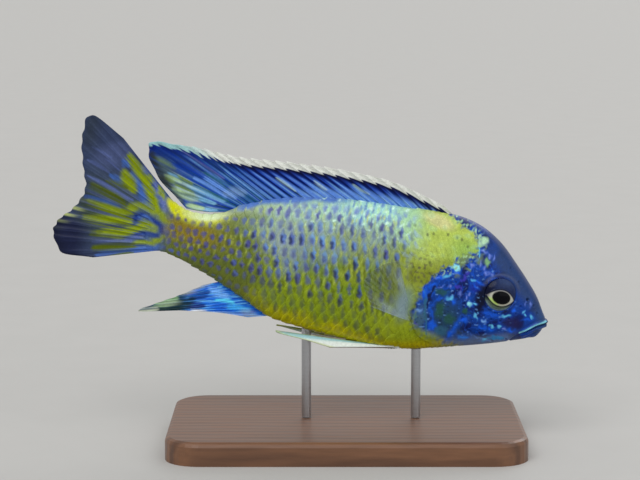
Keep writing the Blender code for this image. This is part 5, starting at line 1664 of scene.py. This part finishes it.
def eye(side, word):
    """The eyeball: a flattened dome with the pupil standing out of its middle."""
    s0, h0 = EYE_AT
    at = np.array([s0])
    share = arc_at(at, np.array([h0])) / girth(at)
    out = look_up(BODY_OUT, at, share)[0]
    y0 = look_up(BODY_Y, at, share)[0]
    fore = np.array([1.0, 0.0, 0.0]) - out * out[0]
    fore /= np.linalg.norm(fore)
    up = np.cross(fore, out)
    polar = np.radians(EYE_RINGS_DEG)
    turns = np.linspace(0, 2 * np.pi, EYE_TURNS, endpoint=False)
    t, phi = np.meshgrid(polar, turns, indexing="ij")
    in_front = t < math.radians(EYE_FRONT_DEG)
    rows, cols = t.shape
    r = EYE_RADIUS * np.sin(t)
    x, y = r * np.cos(phi), r * np.sin(phi)
    lens = np.hypot((x - RING_MIDDLE[0]) / PUPIL_HALF_LENGTH, (y - RING_MIDDLE[1]) / PUPIL_HALF_HEIGHT)
    depth = EYE_HALF_DEPTH * np.cos(t) - (EYE_HALF_DEPTH - EYE_PROUD)
    depth += LENS_HEIGHT * np.sqrt(np.clip(1 - (lens * 0.95) ** 2, 0, 1)) * in_front
    depth -= PUPIL_GROOVE * bell(lens, 1.55, 0.12) * in_front
    poles = (EYE_PROUD + LENS_HEIGHT - 0.01, -2 * EYE_HALF_DEPTH + EYE_PROUD)
    x, y, heading = (np.concatenate([a.ravel(), [0, 0]]) for a in (x, y, phi))
    depth = np.concatenate([depth.ravel(), poles])
    point = x[:, None] * fore + y[:, None] * up + depth[:, None] * out
    verts = place(s0 - point[:, 0], side * (y0 + point[:, 1]), h0 + point[:, 2])
    grid, first, last = tube(rows, cols)
    faces = [grid[:, ::-1], first[:, (0, 2, 1)], last[:, (0, 2, 1)]]
    spread = np.concatenate([np.repeat(polar / math.pi, cols), [0.0, 1.0]])
    flat = 0.5 + 0.49 * spread[:, None] * np.stack([np.cos(heading), np.sin(heading)], 1)
    piece = new_piece(f"eyeball_{word}", verts, faces, [flat[f] for f in faces], eye_tone(x, y))
    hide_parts(f"eye_{word}")
    return piece


# Stand and floor
WALNUT_DARK = rgb(84, 54, 36)
WALNUT_LIGHT = rgb(116, 78, 52)
STEEL_GREY = rgb(176, 177, 180)
FLOOR_GREY = rgb(186, 185, 182)
FLOOR_HALF_WIDTH = 40.0
BUMP_HEIGHT = 0.0001


def node(tree, kind, **values):
    """A shader node with settings and inputs by name; an input takes a value or a socket."""
    made = tree.nodes.new(kind)
    for key, value in values.items():
        if hasattr(made, key):
            setattr(made, key, value)
            continue
        socket = made.inputs[key.replace("_", " ")]
        if isinstance(value, bpy.types.NodeSocket):
            tree.links.new(value, socket)
        else:
            socket.default_value = value
    return made


def new_material(name):
    """A new material, its node tree, its shader and the socket of places on the part."""
    made = bpy.data.materials.new(name)
    made.use_nodes = True
    tree = made.node_tree
    where = node(tree, "ShaderNodeTexCoord").outputs["Object"]
    return made, tree, tree.nodes["Principled BSDF"], where


def painted(tree):
    """The colours stored at the mesh's points."""
    return node(tree, "ShaderNodeAttribute", attribute_name="tone").outputs["Color"]


def uniform(tree, colour):
    """One colour as a socket."""
    made = node(tree, "ShaderNodeRGB")
    made.outputs[0].default_value = (*colour, 1.0)
    return made.outputs[0]


def noise(tree, where, scale, detail):
    """A noise with about scale blotches to the metre."""
    return node(tree, "ShaderNodeTexNoise", Vector=where, Scale=scale, Detail=detail).outputs["Fac"]


def tinted(tree, colour, grain, low, high, **limits):
    """A colour made lighter and darker by a noise, between two factors."""
    spread = node(tree, "ShaderNodeMapRange", Value=grain, To_Min=low, To_Max=high, **limits)
    mixed = node(tree, "ShaderNodeVectorMath", operation="SCALE")
    tree.links.new(colour, mixed.inputs[0])
    tree.links.new(spread.outputs["Result"], mixed.inputs["Scale"])
    return mixed.outputs["Vector"]


def finish(
    tree, shader, colour, grain, rough=None, bump=None, bumps=None, height=BUMP_HEIGHT, **settings
):
    """Joins up a shader. Its roughness follows the grain, and so do bumps with no noise of their own."""
    tree.links.new(colour, shader.inputs["Base Color"])
    if rough:
        uneven = node(tree, "ShaderNodeMapRange", Value=grain, To_Min=rough[0], To_Max=rough[1])
        tree.links.new(uneven.outputs["Result"], shader.inputs["Roughness"])
    if bump:
        raised = node(tree, "ShaderNodeBump", Strength=bump, Distance=height, Height=bumps or grain)
        tree.links.new(raised.outputs["Normal"], shader.inputs["Normal"])
    for name, value in settings.items():
        shader.inputs[name.replace("_", " ")].default_value = value


def coat_material(name, roughness, coat, fleck, bump, sheen):
    """Wet skin: the painted markings with fine grain, bright flecks and a thin clear coat."""
    made, tree, shader, where = new_material(name)
    grain = noise(tree, where, 1300.0, 4.0)
    flecks = node(tree, "ShaderNodeTexVoronoi", Vector=where, Scale=2600.0).outputs["Distance"]
    colour = tinted(tree, painted(tree), grain, 0.8, 1.2)
    colour = tinted(tree, colour, flecks, 1.0, 1.0 + fleck, From_Min=0.45, From_Max=0.0)
    finish(
        tree, shader, colour, grain, (roughness - 0.08, roughness + 0.1), bump,
        noise(tree, where, 4200.0, 3.0),
        Specular_IOR_Level=sheen, Coat_Weight=coat, Coat_Roughness=0.12,
    )
    return made


def eye_material():
    """A wet eye, smooth and dark."""
    made, tree, shader, where = new_material("wet_eye")
    grain = noise(tree, where, 3000.0, 4.0)
    finish(
        tree, shader, tinted(tree, painted(tree), grain, 0.85, 1.15), grain, (0.18, 0.34),
        Specular_IOR_Level=0.05, Coat_Weight=0.1, Coat_Roughness=0.05,
    )
    return made


def clear_fin_material():
    """The pectoral fins' clear membrane, milky along its rays."""
    made, tree, shader, where = new_material("clear_membrane")
    grain = noise(tree, where, 1500.0, 3.0)
    colour = tinted(tree, painted(tree), grain, 0.85, 1.15)
    finish(tree, shader, colour, grain, bump=0.2, Roughness=0.3, Alpha=0.3)
    return made


def walnut_material():
    """Oiled walnut with its grain along the base."""
    made, tree, shader, where = new_material("oiled_walnut")
    drawn = node(tree, "ShaderNodeMapping", Vector=where, Scale=(0.12, 1.0, 1.0)).outputs[0]
    rings = node(tree, "ShaderNodeTexWave", Vector=drawn, Scale=95.0, Distortion=6.0, Detail=3.0)
    rings.bands_direction = "Y"
    pores = noise(tree, drawn, 900.0, 2.0)
    figure = node(tree, "ShaderNodeMath", operation="MULTIPLY_ADD")
    tree.links.new(noise(tree, drawn, 45.0, 3.0), figure.inputs[0])
    figure.inputs[1].default_value = 0.6
    tree.links.new(rings.outputs["Fac"], figure.inputs[2])
    browns = node(tree, "ShaderNodeValToRGB", Fac=figure.outputs[0])
    stops = browns.color_ramp.elements
    for stop, position, colour in zip(stops, (0.1, 1.0), (WALNUT_DARK, WALNUT_LIGHT)):
        stop.position = position
        stop.color = (*colour, 1.0)
    colour = tinted(tree, browns.outputs["Color"], pores, 0.7, 1.25)
    finish(tree, shader, colour, pores, (0.3, 0.5), 0.35, Coat_Weight=0.15, Coat_Roughness=0.25)
    return made


def steel_material():
    """Rod brushed round its length."""
    made, tree, shader, where = new_material("brushed_steel")
    drawn = node(tree, "ShaderNodeMapping", Vector=where, Scale=(0.05, 0.05, 1.0)).outputs[0]
    lines = noise(tree, drawn, 9000.0, 3.0)
    colour = tinted(tree, uniform(tree, STEEL_GREY), lines, 0.85, 1.15)
    finish(tree, shader, colour, lines, (0.22, 0.42), 0.2, height=BUMP_HEIGHT / 2, Metallic=1.0)
    return made


def dress(piece, look):
    """Gives a piece its only material."""
    piece.data.materials.clear()
    piece.data.materials.append(look)


def to_scene(name, data):
    """An object with this data, added to the scene."""
    obj = bpy.data.objects.new(name, data)
    bpy.context.scene.collection.objects.link(obj)
    return obj


def aim(obj, direction):
    """Turns a lamp or camera to look along a direction."""
    obj.rotation_euler = direction.to_track_quat("-Z", "Y").to_euler()


SKY_STRENGTH = 0.55
# Lights: name, where each stands, strength, breadth in degrees
LIGHTS = (
    ("key", (-0.35, -0.75, 1.0), 1.5, 40.0),
    ("fill", (0.9, -0.8, 0.35), 0.5, 60.0),
    ("back", (0.4, 0.8, 0.7), 0.5, 30.0),
)


def stage_set():
    """Pale floor, soft lights and an even pale surround."""
    mesh = bpy.data.meshes.new("floor")
    half = FLOOR_HALF_WIDTH
    corners = [(-half, -half, 0), (half, -half, 0), (half, half, 0), (-half, half, 0)]
    mesh.from_pydata(corners, [], [(0, 1, 2, 3)])
    floor = to_scene("floor", mesh)
    made, tree, shader, where = new_material("pale_floor")
    mottle = noise(tree, where, 60.0, 4.0)
    colour = tinted(tree, uniform(tree, FLOOR_GREY), mottle, 0.97, 1.03)
    finish(tree, shader, colour, mottle, Roughness=0.7)
    dress(floor, made)
    world = bpy.data.worlds.new("studio")
    world.use_nodes = True
    sky = world.node_tree.nodes["Background"]
    sky.inputs["Color"].default_value = (1.0, 1.0, 1.0, 1.0)
    sky.inputs["Strength"].default_value = SKY_STRENGTH
    bpy.context.scene.world = world
    for name, spot, strength, breadth in LIGHTS:
        lamp = bpy.data.lights.new(name, "SUN")
        lamp.energy = strength
        lamp.angle = math.radians(breadth)
        aim(to_scene(name, lamp), -Vector(spot))


def camera():
    """The photograph's view of the fish's right side."""
    right, up = SNOUT_TO_MIDDLE_PIXELS
    target = Vector((SNOUT_X - right * MM_PER_PIXEL, 0.0, SNOUT_Z + up * MM_PER_PIXEL)) * MM
    tilt = math.radians(CAMERA_ELEVATION_DEG)
    away = Vector((0.0, -math.cos(tilt), math.sin(tilt)))
    data = bpy.data.cameras.new("camera")
    data.sensor_width = SENSOR_WIDTH
    data.lens = CAMERA_DISTANCE / MM_PER_PIXEL * SENSOR_WIDTH / PHOTO_WIDTH
    data.clip_start = 0.01
    data.clip_end = 200.0
    cam = to_scene("camera", data)
    cam.location = target + away * CAMERA_DISTANCE * MM
    aim(cam, -away)
    bpy.context.scene.camera = cam


def main():
    """Builds the scene."""
    camera()
    stage_set()
    bpy.context.scene.view_settings.view_transform = "Standard"
    wet_skin = coat_material("wet_skin", roughness=0.34, coat=0.12, fleck=0.25, bump=0.3, sheen=0.1)
    wet_scales = coat_material(
        "wet_scales", roughness=0.3, coat=0.12, fleck=0.35, bump=0.25, sheen=0.12
    )
    membrane = coat_material(
        "fin_membrane", roughness=0.42, coat=0.04, fleck=0.2, bump=0.25, sheen=0.07
    )
    steel = steel_material()
    for look, pieces in (
        (wet_skin, [body_skin()]),
        (wet_scales, all_scales()),
        (membrane, [dorsal_fin(), anal_fin(), caudal_fin(), *pelvic_fins()]),
        (clear_fin_material(), pectoral_fins()),
        (eye_material(), [eye(side, word) for side, word in SIDES]),
        (walnut_material(), [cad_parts["stand_base"]]),
        (steel, [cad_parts["stand_rod_front"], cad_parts["stand_rod_rear"]]),
    ):
        for piece in pieces:
            dress(piece, look)


main()
